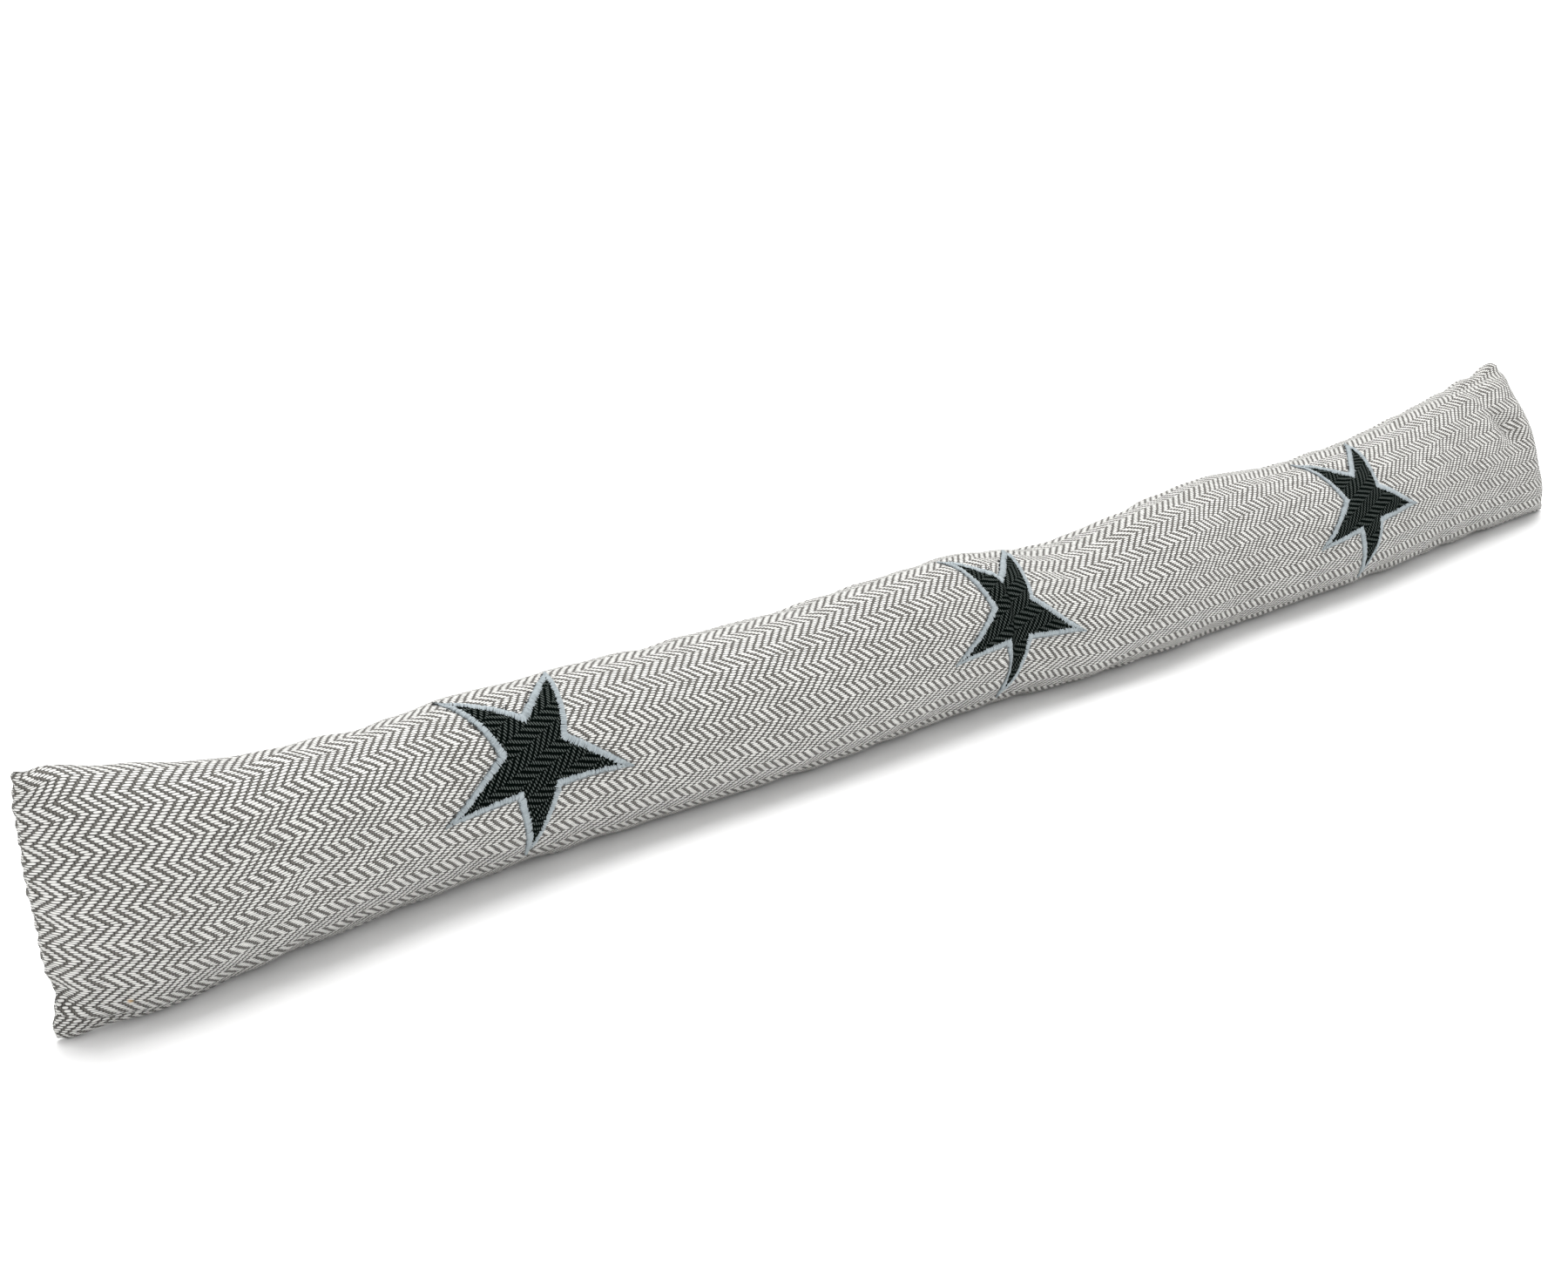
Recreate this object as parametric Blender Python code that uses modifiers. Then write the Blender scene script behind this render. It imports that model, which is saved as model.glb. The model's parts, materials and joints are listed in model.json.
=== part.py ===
"""Draught excluder: a stuffed tube of herringbone cloth with three appliqued stars.

The cover is one filled solid. Its cloth has the same girth from end to end, so a
section that stands taller is thinner, and both ends close to a flat, upright seam.
Each star is a patch of dark cloth inside a border of satin stitch, and both follow
the front of the cover. Metres, +Z up. +X runs along the tube and the stars face -Y.
"""

import math
from collections import namedtuple

import bmesh
import bpy
import numpy as np
from mathutils import Vector

# Driving dimensions, in metres.
LENGTH = 0.88  # between the middles of the two end seams
GIRTH = 0.206  # round the cloth, the same all along
SEAM = 0.0034  # thickness where two cloths are sewn flat together at an end
PRESSED = 0.0025  # how deep the weight flattens the round underside
END_REACH = 0.12  # how far from an end its slant and its upright corner still show
CLEARANCE = 0.00045  # between the cover and what is sewn on it

STAR_POINTS = 5
BORDER_TIP, BORDER_NOTCH = 0.0428, 0.0165  # radii of the border's outer star
PATCH_TIP, PATCH_NOTCH = 0.0365, 0.0127  # radii of the dark cloth's star
GAP_TIP, GAP_NOTCH = 0.0012, 0.0005  # the border starts this far outside the cloth
PATCH_THICKNESS = 0.0010
BORDER_THICKNESS = 0.0014

# Mesh density.
STATIONS, AROUND = 62, 40  # the cover's grid, along and round
END_CROWDING = 0.6  # 0 spaces the stations evenly, 1 crowds them most at the ends
PATCH_CUTS, BORDER_CUTS = 5, 6
ARC_STEPS = 24

# The cover's form, a row for each section from the left end to the right one. along
# is a fraction of LENGTH, height and sideways are millimetres, and lean is the angle
# in degrees by which the section's top tips back.
Section = namedtuple("Section", "along height sideways lean")
SECTIONS = (
    Section(0.00, 99, -10, -10),
    Section(0.03, 90, -10, -4),
    Section(0.07, 83, -5, -9),
    Section(0.12, 78, 1, -17),
    Section(0.20, 76, 6, -17),
    Section(0.31, 70, 6, -16),
    Section(0.38, 70, 3, -15),
    Section(0.45, 75, 0, -15),
    Section(0.50, 72, 2, -13),
    Section(0.56, 62, 2, -10),
    Section(0.62, 71, -5, -2),
    Section(0.68, 75, -4, 5),
    Section(0.75, 70, -3, 10),
    Section(0.82, 71, -3, 11),
    Section(0.90, 77, -1, 10),
    Section(1.00, 87, -2, 13),
)

# How far, in metres, the top corner of each end stands to the left of its middle,
# and over what distance the stuffing rounds off before the seam.
End = namedtuple("End", "slant rounding")
LEFT_END = End(0.0065, 0.010)
RIGHT_END = End(0.016, 0.022)

# along is a fraction of LENGTH, up is millimetres of cloth above the panel's middle,
# and turn is the direction in degrees of the point that aims most nearly along +X.
Star = namedtuple("Star", "along up turn")
STARS = (
    Star(0.2076, 25, -17),
    Star(0.4955, 22, -15.5),
    Star(0.788, 11, -13.5),
)

COVER_COLOUR = (0.50, 0.49, 0.47, 1.0)
PATCH_COLOUR = (0.010, 0.016, 0.014, 1.0)
BORDER_COLOUR = (0.50, 0.56, 0.58, 1.0)


def column(name):
    """One column of SECTIONS as an array."""
    return np.array([getattr(row, name) for row in SECTIONS], float)


def smooth(name, along):
    """A column of SECTIONS read between its rows, on a curve with no corner."""
    knots, values = column("along"), column(name)
    slopes = np.gradient(values, knots)
    row = min(max(int(np.searchsorted(knots, along)) - 1, 0), len(knots) - 2)
    step = knots[row + 1] - knots[row]
    t = (along - knots[row]) / step
    return (
        (1 + 2 * t) * (1 - t) ** 2 * values[row]
        + t * (1 - t) ** 2 * step * slopes[row]
        + t * t * (3 - 2 * t) * values[row + 1]
        + t * t * (t - 1) * step * slopes[row + 1]
    )


def girth_of(half_height, half_width):
    """Ramanujan's length of an ellipse."""
    total = half_height + half_width
    mean = (3 * half_height + half_width) * (half_height + 3 * half_width)
    return math.pi * (3 * total - math.sqrt(mean))


def half_width_for(half_height):
    """The half width that leaves the ellipse's girth at GIRTH."""
    low, high = 0.0, GIRTH / 4
    for _ in range(40):
        middle = (low + high) / 2
        if girth_of(half_height, middle) < GIRTH:
            low = middle
        else:
            high = middle
    return low


def rounding(distance, reach):
    """1 away from an end, falling to 0 at it as a quarter of an ellipse does."""
    near = min(distance / reach, 1)
    return math.sqrt(1 - (1 - near) ** 2)


class Ring:
    """One cross-section of the cover: a leaning ellipse that stands on the ground."""

    def __init__(self, x):
        self.x = x
        from_left, from_right = x + LENGTH / 2, LENGTH / 2 - x
        along = min(max(from_left / LENGTH, 0), 1)
        self.half_height = smooth("height", along) / 2000
        self.lean = math.radians(smooth("lean", along))
        self.y = smooth("sideways", along) / 1000
        closing = rounding(max(from_left, 0), LEFT_END.rounding)
        closing *= rounding(max(from_right, 0), RIGHT_END.rounding)
        full = half_width_for(self.half_height)
        self.half_width = max(full * closing, SEAM / 2)
        left = max(1 - from_left / END_REACH, 0)
        right = max(1 - from_right / END_REACH, 0)
        self.slant = LEFT_END.slant * left**2 + RIGHT_END.slant * right**2
        upright = self.half_height * math.cos(self.lean)
        tipped = self.half_width * math.sin(self.lean)
        self.z = math.hypot(upright, tipped) - PRESSED * (1 - max(left, right))

    def point(self, angle):
        """The point at this angle: 0 is the front, a quarter turn is the top."""
        outward = -self.half_width * math.cos(angle)
        upward = self.half_height * math.sin(angle)
        cos, sin = math.cos(self.lean), math.sin(self.lean)
        return Vector(
            (
                self.x - self.slant * math.sin(angle),
                self.y + outward * cos + upward * sin,
                max(self.z - outward * sin + upward * cos, 0),
            )
        )

    def angle_at(self, cloth):
        """The angle reached by going this far up the cloth from the front."""
        angle = 0.0
        for _ in range(ARC_STEPS):
            speed = math.hypot(
                self.half_width * math.sin(angle), self.half_height * math.cos(angle)
            )
            angle += cloth / ARC_STEPS / speed
        return angle


def on_cover(x, cloth, clearance):
    """The point above the cover at x, and this far up its cloth from the front."""
    step = 0.001
    here = Ring(x).point(Ring(x).angle_at(cloth))
    ahead = Ring(x + step).point(Ring(x + step).angle_at(cloth))
    above = Ring(x).point(Ring(x).angle_at(cloth + step))
    normal = (ahead - here).cross(above - here).normalized()
    return here + normal * clearance


def material(name, colour, roughness):
    made = bpy.data.materials.new(name)
    made.use_nodes = True
    shader = made.node_tree.nodes["Principled BSDF"]
    shader.inputs["Base Color"].default_value = colour
    shader.inputs["Roughness"].default_value = roughness
    shader.inputs["Metallic"].default_value = 0.0
    return made


def add_object(name, shape, finish, collection):
    """Turns a bmesh into an object of its own in the collection."""
    mesh = bpy.data.meshes.new(name)
    shape.to_mesh(mesh)
    shape.free()
    mesh.materials.append(finish)
    mesh.shade_smooth()
    made = bpy.data.objects.new(name, mesh)
    collection.objects.link(made)
    return made


def make_cover(collection):
    """A grid wrapped round the sections, joined underneath and capped at the seams."""
    shape = bmesh.new()
    bmesh.ops.create_grid(shape, x_segments=STATIONS, y_segments=AROUND, size=0.5)
    rings = {}
    for vertex in shape.verts:
        along, turn = vertex.co.x + 0.5, vertex.co.y + 0.5
        crowd = END_CROWDING * math.sin(math.tau * along) / math.tau
        x = (along - crowd - 0.5) * LENGTH
        ring = rings.setdefault(round(x, 6), Ring(x))
        vertex.co = ring.point(math.tau * turn - math.pi / 2)
    bmesh.ops.remove_doubles(shape, verts=shape.verts, dist=1e-6)
    rims = [edge for edge in shape.edges if edge.is_boundary]
    bmesh.ops.holes_fill(shape, edges=rims, sides=0)
    bmesh.ops.recalc_face_normals(shape, faces=shape.faces)
    finish = material("cover_cloth", COVER_COLOUR, 0.9)
    return add_object("cover", shape, finish, collection)


def star_corners(tip, notch, turn):
    """The star's corners, tips and notches in turn, in its own plane."""
    corners = []
    for corner in range(2 * STAR_POINTS):
        radius = notch if corner % 2 else tip
        angle = math.radians(turn) + corner * math.pi / STAR_POINTS
        corners.append(Vector((radius * math.cos(angle), radius * math.sin(angle), 0)))
    return corners


def lay_on_cover(shape, star):
    """Carries a flat shape, centred on the star, onto the front of the cover."""
    for vertex in shape.verts:
        x = (star.along - 0.5) * LENGTH + vertex.co.x
        vertex.co = on_cover(x, star.up / 1000 + vertex.co.y, CLEARANCE)
    bmesh.ops.recalc_face_normals(shape, faces=shape.faces)
    if sum(face.normal.y for face in shape.faces) > 0:
        bmesh.ops.reverse_faces(shape, faces=shape.faces)


def thicken(made, thickness):
    """Gives a sheet its thickness, on the side away from the cover."""
    solidify = made.modifiers.new("thickness", "SOLIDIFY")
    solidify.thickness = thickness
    solidify.offset = 1


def make_patch(number, star, collection):
    """The dark star: five kites round its middle, each cut into a fine grid."""
    shape = bmesh.new()
    corners = star_corners(PATCH_TIP, PATCH_NOTCH, star.turn)
    outline = [shape.verts.new(corner) for corner in corners]
    middle = shape.verts.new((0, 0, 0))
    for tip in range(0, len(outline), 2):
        ahead = outline[(tip + 1) % len(outline)]
        shape.faces.new((middle, outline[tip - 1], outline[tip], ahead))
    bmesh.ops.subdivide_edges(
        shape, edges=shape.edges, cuts=PATCH_CUTS, use_grid_fill=True
    )
    lay_on_cover(shape, star)
    finish = material(f"star_cloth_{number}", PATCH_COLOUR, 0.85)
    made = add_object(f"star_patch_{number}", shape, finish, collection)
    thicken(made, PATCH_THICKNESS)


def make_border(number, star, collection):
    """The satin-stitch band round a star, between its inner and outer outlines."""
    shape = bmesh.new()
    outer = star_corners(BORDER_TIP, BORDER_NOTCH, star.turn)
    inner = star_corners(PATCH_TIP + GAP_TIP, PATCH_NOTCH + GAP_NOTCH, star.turn)
    outside = [shape.verts.new(corner) for corner in outer]
    inside = [shape.verts.new(corner) for corner in inner]
    for side in range(len(outside)):
        shape.faces.new(
            (inside[side - 1], outside[side - 1], outside[side], inside[side])
        )
    lengthwise = [edge for edge in shape.edges if edge.is_boundary]
    bmesh.ops.subdivide_edges(
        shape, edges=lengthwise, cuts=BORDER_CUTS, use_grid_fill=True
    )
    lay_on_cover(shape, star)
    finish = material(f"star_thread_{number}", BORDER_COLOUR, 0.55)
    made = add_object(f"star_border_{number}", shape, finish, collection)
    thicken(made, BORDER_THICKNESS)


def centre_on_origin(collection):
    """Moves every mesh so that the whole thing's box stands centred on the origin."""
    bpy.context.view_layer.update()
    graph = bpy.context.evaluated_depsgraph_get()
    corners = [
        Vector(corner)
        for made in collection.objects
        for corner in made.evaluated_get(graph).bound_box
    ]
    low = [min(corner[axis] for corner in corners) for axis in range(3)]
    high = [max(corner[axis] for corner in corners) for axis in range(3)]
    shift = Vector((-(low[0] + high[0]) / 2, -(low[1] + high[1]) / 2, -low[2]))
    for made in collection.objects:
        for vertex in made.data.vertices:
            vertex.co += shift


def main():
    for old in list(bpy.data.objects):
        bpy.data.objects.remove(old, do_unlink=True)
    collection = bpy.data.collections.new("draught_excluder")
    bpy.context.scene.collection.children.link(collection)
    make_cover(collection)
    for number, star in enumerate(STARS, start=1):
        make_patch(number, star, collection)
        make_border(number, star, collection)
    centre_on_origin(collection)


main()
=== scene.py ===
"""Looks of the draught excluder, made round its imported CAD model.

The cover is a tube of herringbone cloth. Its shape is read from the CAD cover, ring by
ring, as a map from places on the flat cloth to places in space. The map is puffed out by
a cloth simulation, and then everything sewn on the cover is laid on the cloth through it:
the dark stars, the satin stitch round them and the frayed yarns that poke out.

Lengths are metres. On the cloth, along runs from the left seam to the right one, and
across runs round the tube, up the front from the middle of the underside.
"""

from __future__ import annotations

import json
import logging
import math
from collections.abc import Callable, Iterator
from contextlib import contextmanager
from dataclasses import dataclass, field
from enum import Enum

import bmesh
import bpy
import numpy as np
from mathutils import Euler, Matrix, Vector
from mathutils.kdtree import KDTree

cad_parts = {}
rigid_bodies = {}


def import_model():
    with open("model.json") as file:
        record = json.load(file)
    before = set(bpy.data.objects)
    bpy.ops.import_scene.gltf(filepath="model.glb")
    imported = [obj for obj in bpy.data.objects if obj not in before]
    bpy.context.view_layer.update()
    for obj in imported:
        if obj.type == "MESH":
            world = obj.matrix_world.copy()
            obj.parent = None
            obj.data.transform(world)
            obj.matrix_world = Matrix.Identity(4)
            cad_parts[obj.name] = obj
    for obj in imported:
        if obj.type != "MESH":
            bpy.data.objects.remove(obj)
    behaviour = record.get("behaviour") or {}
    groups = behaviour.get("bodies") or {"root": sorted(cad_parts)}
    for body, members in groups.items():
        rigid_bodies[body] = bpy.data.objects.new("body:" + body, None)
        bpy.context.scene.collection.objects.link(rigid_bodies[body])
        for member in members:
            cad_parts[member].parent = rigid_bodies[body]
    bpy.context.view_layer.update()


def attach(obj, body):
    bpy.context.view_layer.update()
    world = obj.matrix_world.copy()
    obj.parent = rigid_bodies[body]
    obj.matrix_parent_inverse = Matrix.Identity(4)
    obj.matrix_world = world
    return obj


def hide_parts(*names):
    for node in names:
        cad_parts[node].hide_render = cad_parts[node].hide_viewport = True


LOG = logging.getLogger("draught_excluder")
Array = np.ndarray
Piece = bpy.types.Object
Mesh = bpy.types.Mesh
Material = bpy.types.Material
Socket = bpy.types.NodeSocket
Triple = tuple[float, float, float]  # x, y and z, or a colour
MM = 0.001
TAU = math.tau
CLOTH_MAP = "Cloth"  # the UV map in metres of cloth, which the weaves follow
BAKE_MAP = "OFBake"  # the UV map that fills a square, for a baked picture


class Slot(Enum):
    """The material slots that the record names."""

    COVER = "cover_cloth"
    STAR = "star_cloth"
    THREAD = "star_thread"


# ---------------------------------------------------------------- small helpers


@contextmanager
def editing(made: Piece) -> Iterator[None]:
    """Edit mode on this object alone, with all of it selected."""
    select_only(made)
    bpy.ops.object.mode_set(mode="EDIT")
    bpy.ops.mesh.select_all(action="SELECT")
    yield
    bpy.ops.object.mode_set(mode="OBJECT")


def select_only(made: Piece) -> None:
    """Deselects everything else, and makes this object the active one."""
    for other in bpy.context.view_layer.objects:
        other.select_set(False)
    made.select_set(True)
    bpy.context.view_layer.objects.active = made


def name_piece(made: Piece, name: str) -> Piece:
    """Gives an object and its mesh one name."""
    made.name = name
    made.data.name = name
    return made


def points_of(mesh: Mesh) -> Array:
    """The mesh's vertices, as rows of x, y and z."""
    found = np.empty(len(mesh.vertices) * 3, np.float32)
    mesh.vertices.foreach_get("co", found)
    return found.reshape(-1, 3).astype(float)


def set_points(mesh: Mesh, points: Array) -> None:
    """Moves the mesh's vertices to these rows of x, y and z."""
    mesh.vertices.foreach_set("co", points.astype(np.float32).ravel())
    mesh.update()


def set_map(mesh: Mesh, name: str, by_corner: Array) -> None:
    """Writes a UV map, a row for each face corner.

    Args:
        mesh: the mesh to write it on
        name: the map's name
        by_corner: the places, corners by 2
    """
    layer = mesh.uv_layers.get(name) or mesh.uv_layers.new(name=name)
    layer.uv.foreach_set("vector", by_corner.astype(np.float32).ravel())


def corner_vertices(mesh: Mesh) -> Array:
    """The vertex at each face corner."""
    found = np.empty(len(mesh.loops), np.int32)
    mesh.loops.foreach_get("vertex_index", found)
    return found


def closed_grid(name: str, points: Array) -> Piece:
    """Lays a primitive grid on rows of points, its last column on its first.

    Args:
        name: the object's name
        points: rows along by columns round by 3

    Returns:
        The object, whose two edges along it aren't joined yet.
    """
    rows, columns, _ = points.shape
    bpy.ops.mesh.primitive_grid_add(
        x_subdivisions=rows - 1, y_subdivisions=columns, size=1
    )
    made = name_piece(bpy.context.active_object, name)
    closed = np.concatenate([points, points[:, :1]], axis=1)
    set_points(made.data, closed.transpose(1, 0, 2).reshape(-1, 3))
    return made


def sew(made: Piece, apart: float) -> None:
    """Joins the points that lie no further apart, and turns the faces outwards."""
    with editing(made):
        bpy.ops.mesh.remove_doubles(threshold=apart)
        bpy.ops.mesh.normals_make_consistent(inside=False)


def dress_piece(
    made: Piece, finish: Material, stands_for: str = ""
) -> None:
    """Gives a piece its finish, hangs it on the root body and hides the CAD node that it
    replaces.

    Args:
        made: the piece
        finish: its material
        stands_for: the CAD node that it replaces, if there is one
    """
    made.data.materials.append(finish)
    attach(made, "root")
    if stands_for:
        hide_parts(stands_for)


def facing(direction: Vector) -> Euler:
    """The turn that makes a lamp or a camera look this way."""
    return direction.to_track_quat("-Z", "Y").to_euler()


def bump_shape(distance: Array) -> Array:
    """A soft hump, 1 at no distance and near 0 past 2."""
    return np.exp(-(distance**2))


def fade(distance: Array, reach: float) -> Array:
    """1 at no distance, falling smoothly to 0 at reach."""
    near = np.clip(1 - distance / reach, 0, 1)
    return near * near * (3 - 2 * near)


def between(low: float, high: float, share: Array | float) -> Array | float:
    """The value this share of the way from low to high."""
    return low + (high - low) * share


# ---------------------------------------------------------------- the cloth's shape


@dataclass
class ClothMap:
    """Where each place of the flat cloth is in space, on an even grid of the cloth.

    Attributes:
        points: steps along by steps across by 3; across closes on itself
        length: the cloth's length from the first row to the last
        girth: the cloth's width, once round the tube
    """

    points: Array
    length: float
    girth: float

    SLOPE_STEP = 1.5 * MM

    def at(self, along: Array, across: Array) -> Array:
        """The points at these places, on a smooth curve through the grid.

        Args:
            along: places along the cloth
            across: places round the tube

        Returns:
            The points, with 3 as the last axis.
        """
        rows, columns, _ = self.points.shape
        row = np.clip(along / self.length, 0, 1) * (rows - 1)
        column = across / self.girth * columns
        first = np.clip(np.floor(row).astype(int), 0, rows - 2)
        left = np.floor(column).astype(int)
        row_shares = self._shares(row - first)
        column_shares = self._shares(column - left)
        total = 0.0
        for i in range(4):
            at_row = first + i - 1
            inside = np.clip(at_row, 0, rows - 1)
            beyond = np.clip(at_row, -1, rows) - inside
            for j in range(4):
                at_column = (left + j - 1) % columns
                here = self.points[inside, at_column]
                inward = self.points[np.clip(inside - beyond, 0, rows - 1), at_column]
                here = here + (here - inward) * np.abs(beyond)[..., None]
                share = row_shares[i] * column_shares[j]
                total = total + here * share[..., None]
        return total

    @staticmethod
    def _shares(t: Array) -> list[Array]:
        """How much each of four neighbours counts at t between the middle two."""
        return [
            ((2 - t) * t - 1) * t / 2,
            ((3 * t - 5) * t * t + 2) / 2,
            ((4 - 3 * t) * t + 1) * t / 2,
            (t - 1) * t * t / 2,
        ]

    def normal(self, along: Array, across: Array) -> Array:
        """The outward unit normals at these places.

        Args:
            along: places along the cloth
            across: places round the tube

        Returns:
            The normals, with 3 as the last axis.
        """
        step = self.SLOPE_STEP
        ahead = self.at(along + step, across) - self.at(along - step, across)
        up = self.at(along, across + step) - self.at(along, across - step)
        found = np.cross(ahead, up)
        return found / np.linalg.norm(found, axis=-1, keepdims=True)

    def grid(self, rows: int, columns: int) -> tuple[Array, Array]:
        """Even places on the cloth, as two arrays of rows by columns."""
        along = np.linspace(0, self.length, rows)
        across = np.arange(columns) / columns * self.girth
        return np.meshgrid(along, across, indexing="ij")


@dataclass
class FrameCover:
    """Reads the cover's rings from its CAD node, by cutting it across.

    Attributes:
        node: the CAD node's name
        stations: how many steps the CAD model takes along the tube
        crowding: how much closer they are at the ends
        reach: how far from an end its slant still shows
        inset: how far inside the flat ends the first and the last cut lie
        apart: how near two points of a ring may be before one is dropped
        upright: how nearly a face points along the tube where it is a flat end's
        fine_across: steps round the tube to which each ring is resampled
        fine_along: steps along it
    """

    node: str = "cover"
    stations: int = 62
    crowding: float = 0.6
    reach: float = 120 * MM
    inset: float = 0.02 * MM
    apart: float = 0.6 * MM
    upright: float = 0.9
    fine_across: int = 160
    fine_along: int = 440

    REFINED = 10

    def rings(self) -> list[Array]:
        """The CAD cover's rings of points, from the left end to the right one.

        The planes of the cuts turn from the slant of one flat end to that of the other.

        Returns:
            Each ring's points, from underneath, up the front and down the back.
        """
        shape = bmesh.new()
        shape.from_mesh(bpy.data.objects[self.node].data)
        bmesh.ops.remove_doubles(shape, verts=shape.verts, dist=0.01 * MM)
        shape.normal_update()
        points = np.array([list(vertex.co) for vertex in shape.verts])
        edges = np.array([[v.index for v in edge.verts] for edge in shape.edges])
        left, slant = self._flat_end(shape, -1)
        right, other = self._flat_end(shape, 1)
        shape.free()
        along = np.linspace(0, 1, self.stations + 1)
        along -= self.crowding * np.sin(TAU * along) / TAU
        span = right[0] - left[0]
        found = []
        for share in along:
            inward = np.clip(share * span, self.inset, span - self.inset)
            middle = between(left, right, inward / span)
            near = max(1 - inward / self.reach, 0) ** 2
            far = max(1 - (span - inward) / self.reach, 0) ** 2
            level = 1 - near - far
            normal = near * slant + far * other + np.array([level, 0, 0])
            found.append(self._cut(points, edges, middle, normal))
        return found

    def _flat_end(self, shape: bmesh.types.BMesh, side: int) -> tuple[Array, Array]:
        """The middle of a flat end and its normal, which points to the right.

        Args:
            shape: the cover
            side: -1 for the left end, 1 for the right one

        Returns:
            The middle, and the normal with an x of 1.
        """
        faces = [face for face in shape.faces if side * face.normal.x > self.upright]
        rim = np.array([list(v.co) for face in faces for v in face.verts])
        normal = sum((face.normal * face.calc_area() for face in faces), Vector())
        normal = np.array(normal.normalized())
        return (rim.max(0) + rim.min(0)) / 2, normal / normal[0]

    def _cut(self, points: Array, edges: Array, middle: Array, normal: Array) -> Array:
        """Where a plane crosses the mesh's edges, in turn from underneath.

        Args:
            points: the mesh's points
            edges: the two points of each edge
            middle: a point of the plane
            normal: the plane's normal

        Returns:
            The crossings, as rows of x, y and z.
        """
        height = (points - middle) @ normal
        low, high = height[edges].T
        crossed = edges[(low < 0) != (high < 0)]
        low, high = height[crossed].T
        share = (low / (low - high))[:, None]
        cut = between(points[crossed[:, 0]], points[crossed[:, 1]], share)
        offsets = cut - (cut.max(0) + cut.min(0)) / 2
        turn = np.arctan2(-offsets[:, 1], -offsets[:, 2]) % TAU
        cut = cut[np.argsort(turn, kind="stable")]
        kept = [cut[0]]
        for point in cut[1:]:
            if np.linalg.norm(point - kept[-1]) > self.apart:
                kept.append(point)
        return np.array(kept)

    def _evened(self, ring: Array) -> Array:
        """A ring resampled at even steps of its cloth, on a curve through its points.

        Args:
            ring: its points in turn

        Returns:
            The new points, many times finer than is needed in the end.
        """
        fine = np.arange(20 * len(ring)) / 20
        base = ClothMap(np.stack([ring, ring]), 1.0, float(len(ring)))
        curve = base.at(np.zeros(len(fine)), fine)
        curve[:, 2] = np.maximum(curve[:, 2], 0)
        closed = np.concatenate([curve, curve[:1]])
        steps = np.linalg.norm(np.diff(closed, axis=0), axis=1)
        cloth = np.concatenate([[0], np.cumsum(steps)])
        count = self.fine_across * self.REFINED
        wanted = np.arange(count) / count * cloth[-1]
        return np.stack([np.interp(wanted, cloth, closed[:, k]) for k in range(3)], 1)

    @staticmethod
    def _lined_up(rings: Array) -> Array:
        """Turns each ring to its neighbour, so that the cloth runs along untwisted.

        Args:
            rings: the rings, from one end to the other

        Returns:
            The same rings, each started at another of its points.
        """
        middle = len(rings) // 2
        waves = np.fft.fft(rings, axis=1)
        for side in (-1, 1):
            place = middle + side
            while 0 <= place < len(rings):
                beside = np.fft.fft(rings[place - side], axis=0)
                match = np.fft.ifft(beside.conj() * waves[place], axis=0).real.sum(1)
                rings[place] = np.roll(rings[place], -int(match.argmax()), axis=0)
                place += side
        return rings

    def read(self) -> ClothMap:
        """The cover as a ClothMap."""
        evened = np.stack([self._evened(ring) for ring in self.rings()])
        rings = self._lined_up(evened)[:, :: self.REFINED]
        steps = np.linalg.norm(np.diff(rings, axis=0), axis=2).mean(1)
        along = np.concatenate([[0], np.cumsum(steps)])
        slopes = np.gradient(rings, along, axis=0)
        wanted = np.linspace(0, along[-1], self.fine_along + 1)
        row = np.clip(np.searchsorted(along, wanted) - 1, 0, len(along) - 2)
        step = (along[row + 1] - along[row])[:, None, None]
        t = (wanted - along[row])[:, None, None] / step
        points = (
            (1 + 2 * t) * (1 - t) ** 2 * rings[row]
            + t * (1 - t) ** 2 * step * slopes[row]
            + t * t * (3 - 2 * t) * rings[row + 1]
            + t * t * (t - 1) * step * slopes[row + 1]
        )
        girths = np.linalg.norm(rings - np.roll(rings, 1, axis=1), axis=2).sum(1)
        return ClothMap(points, float(along[-1]), float(np.median(girths)))


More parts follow.
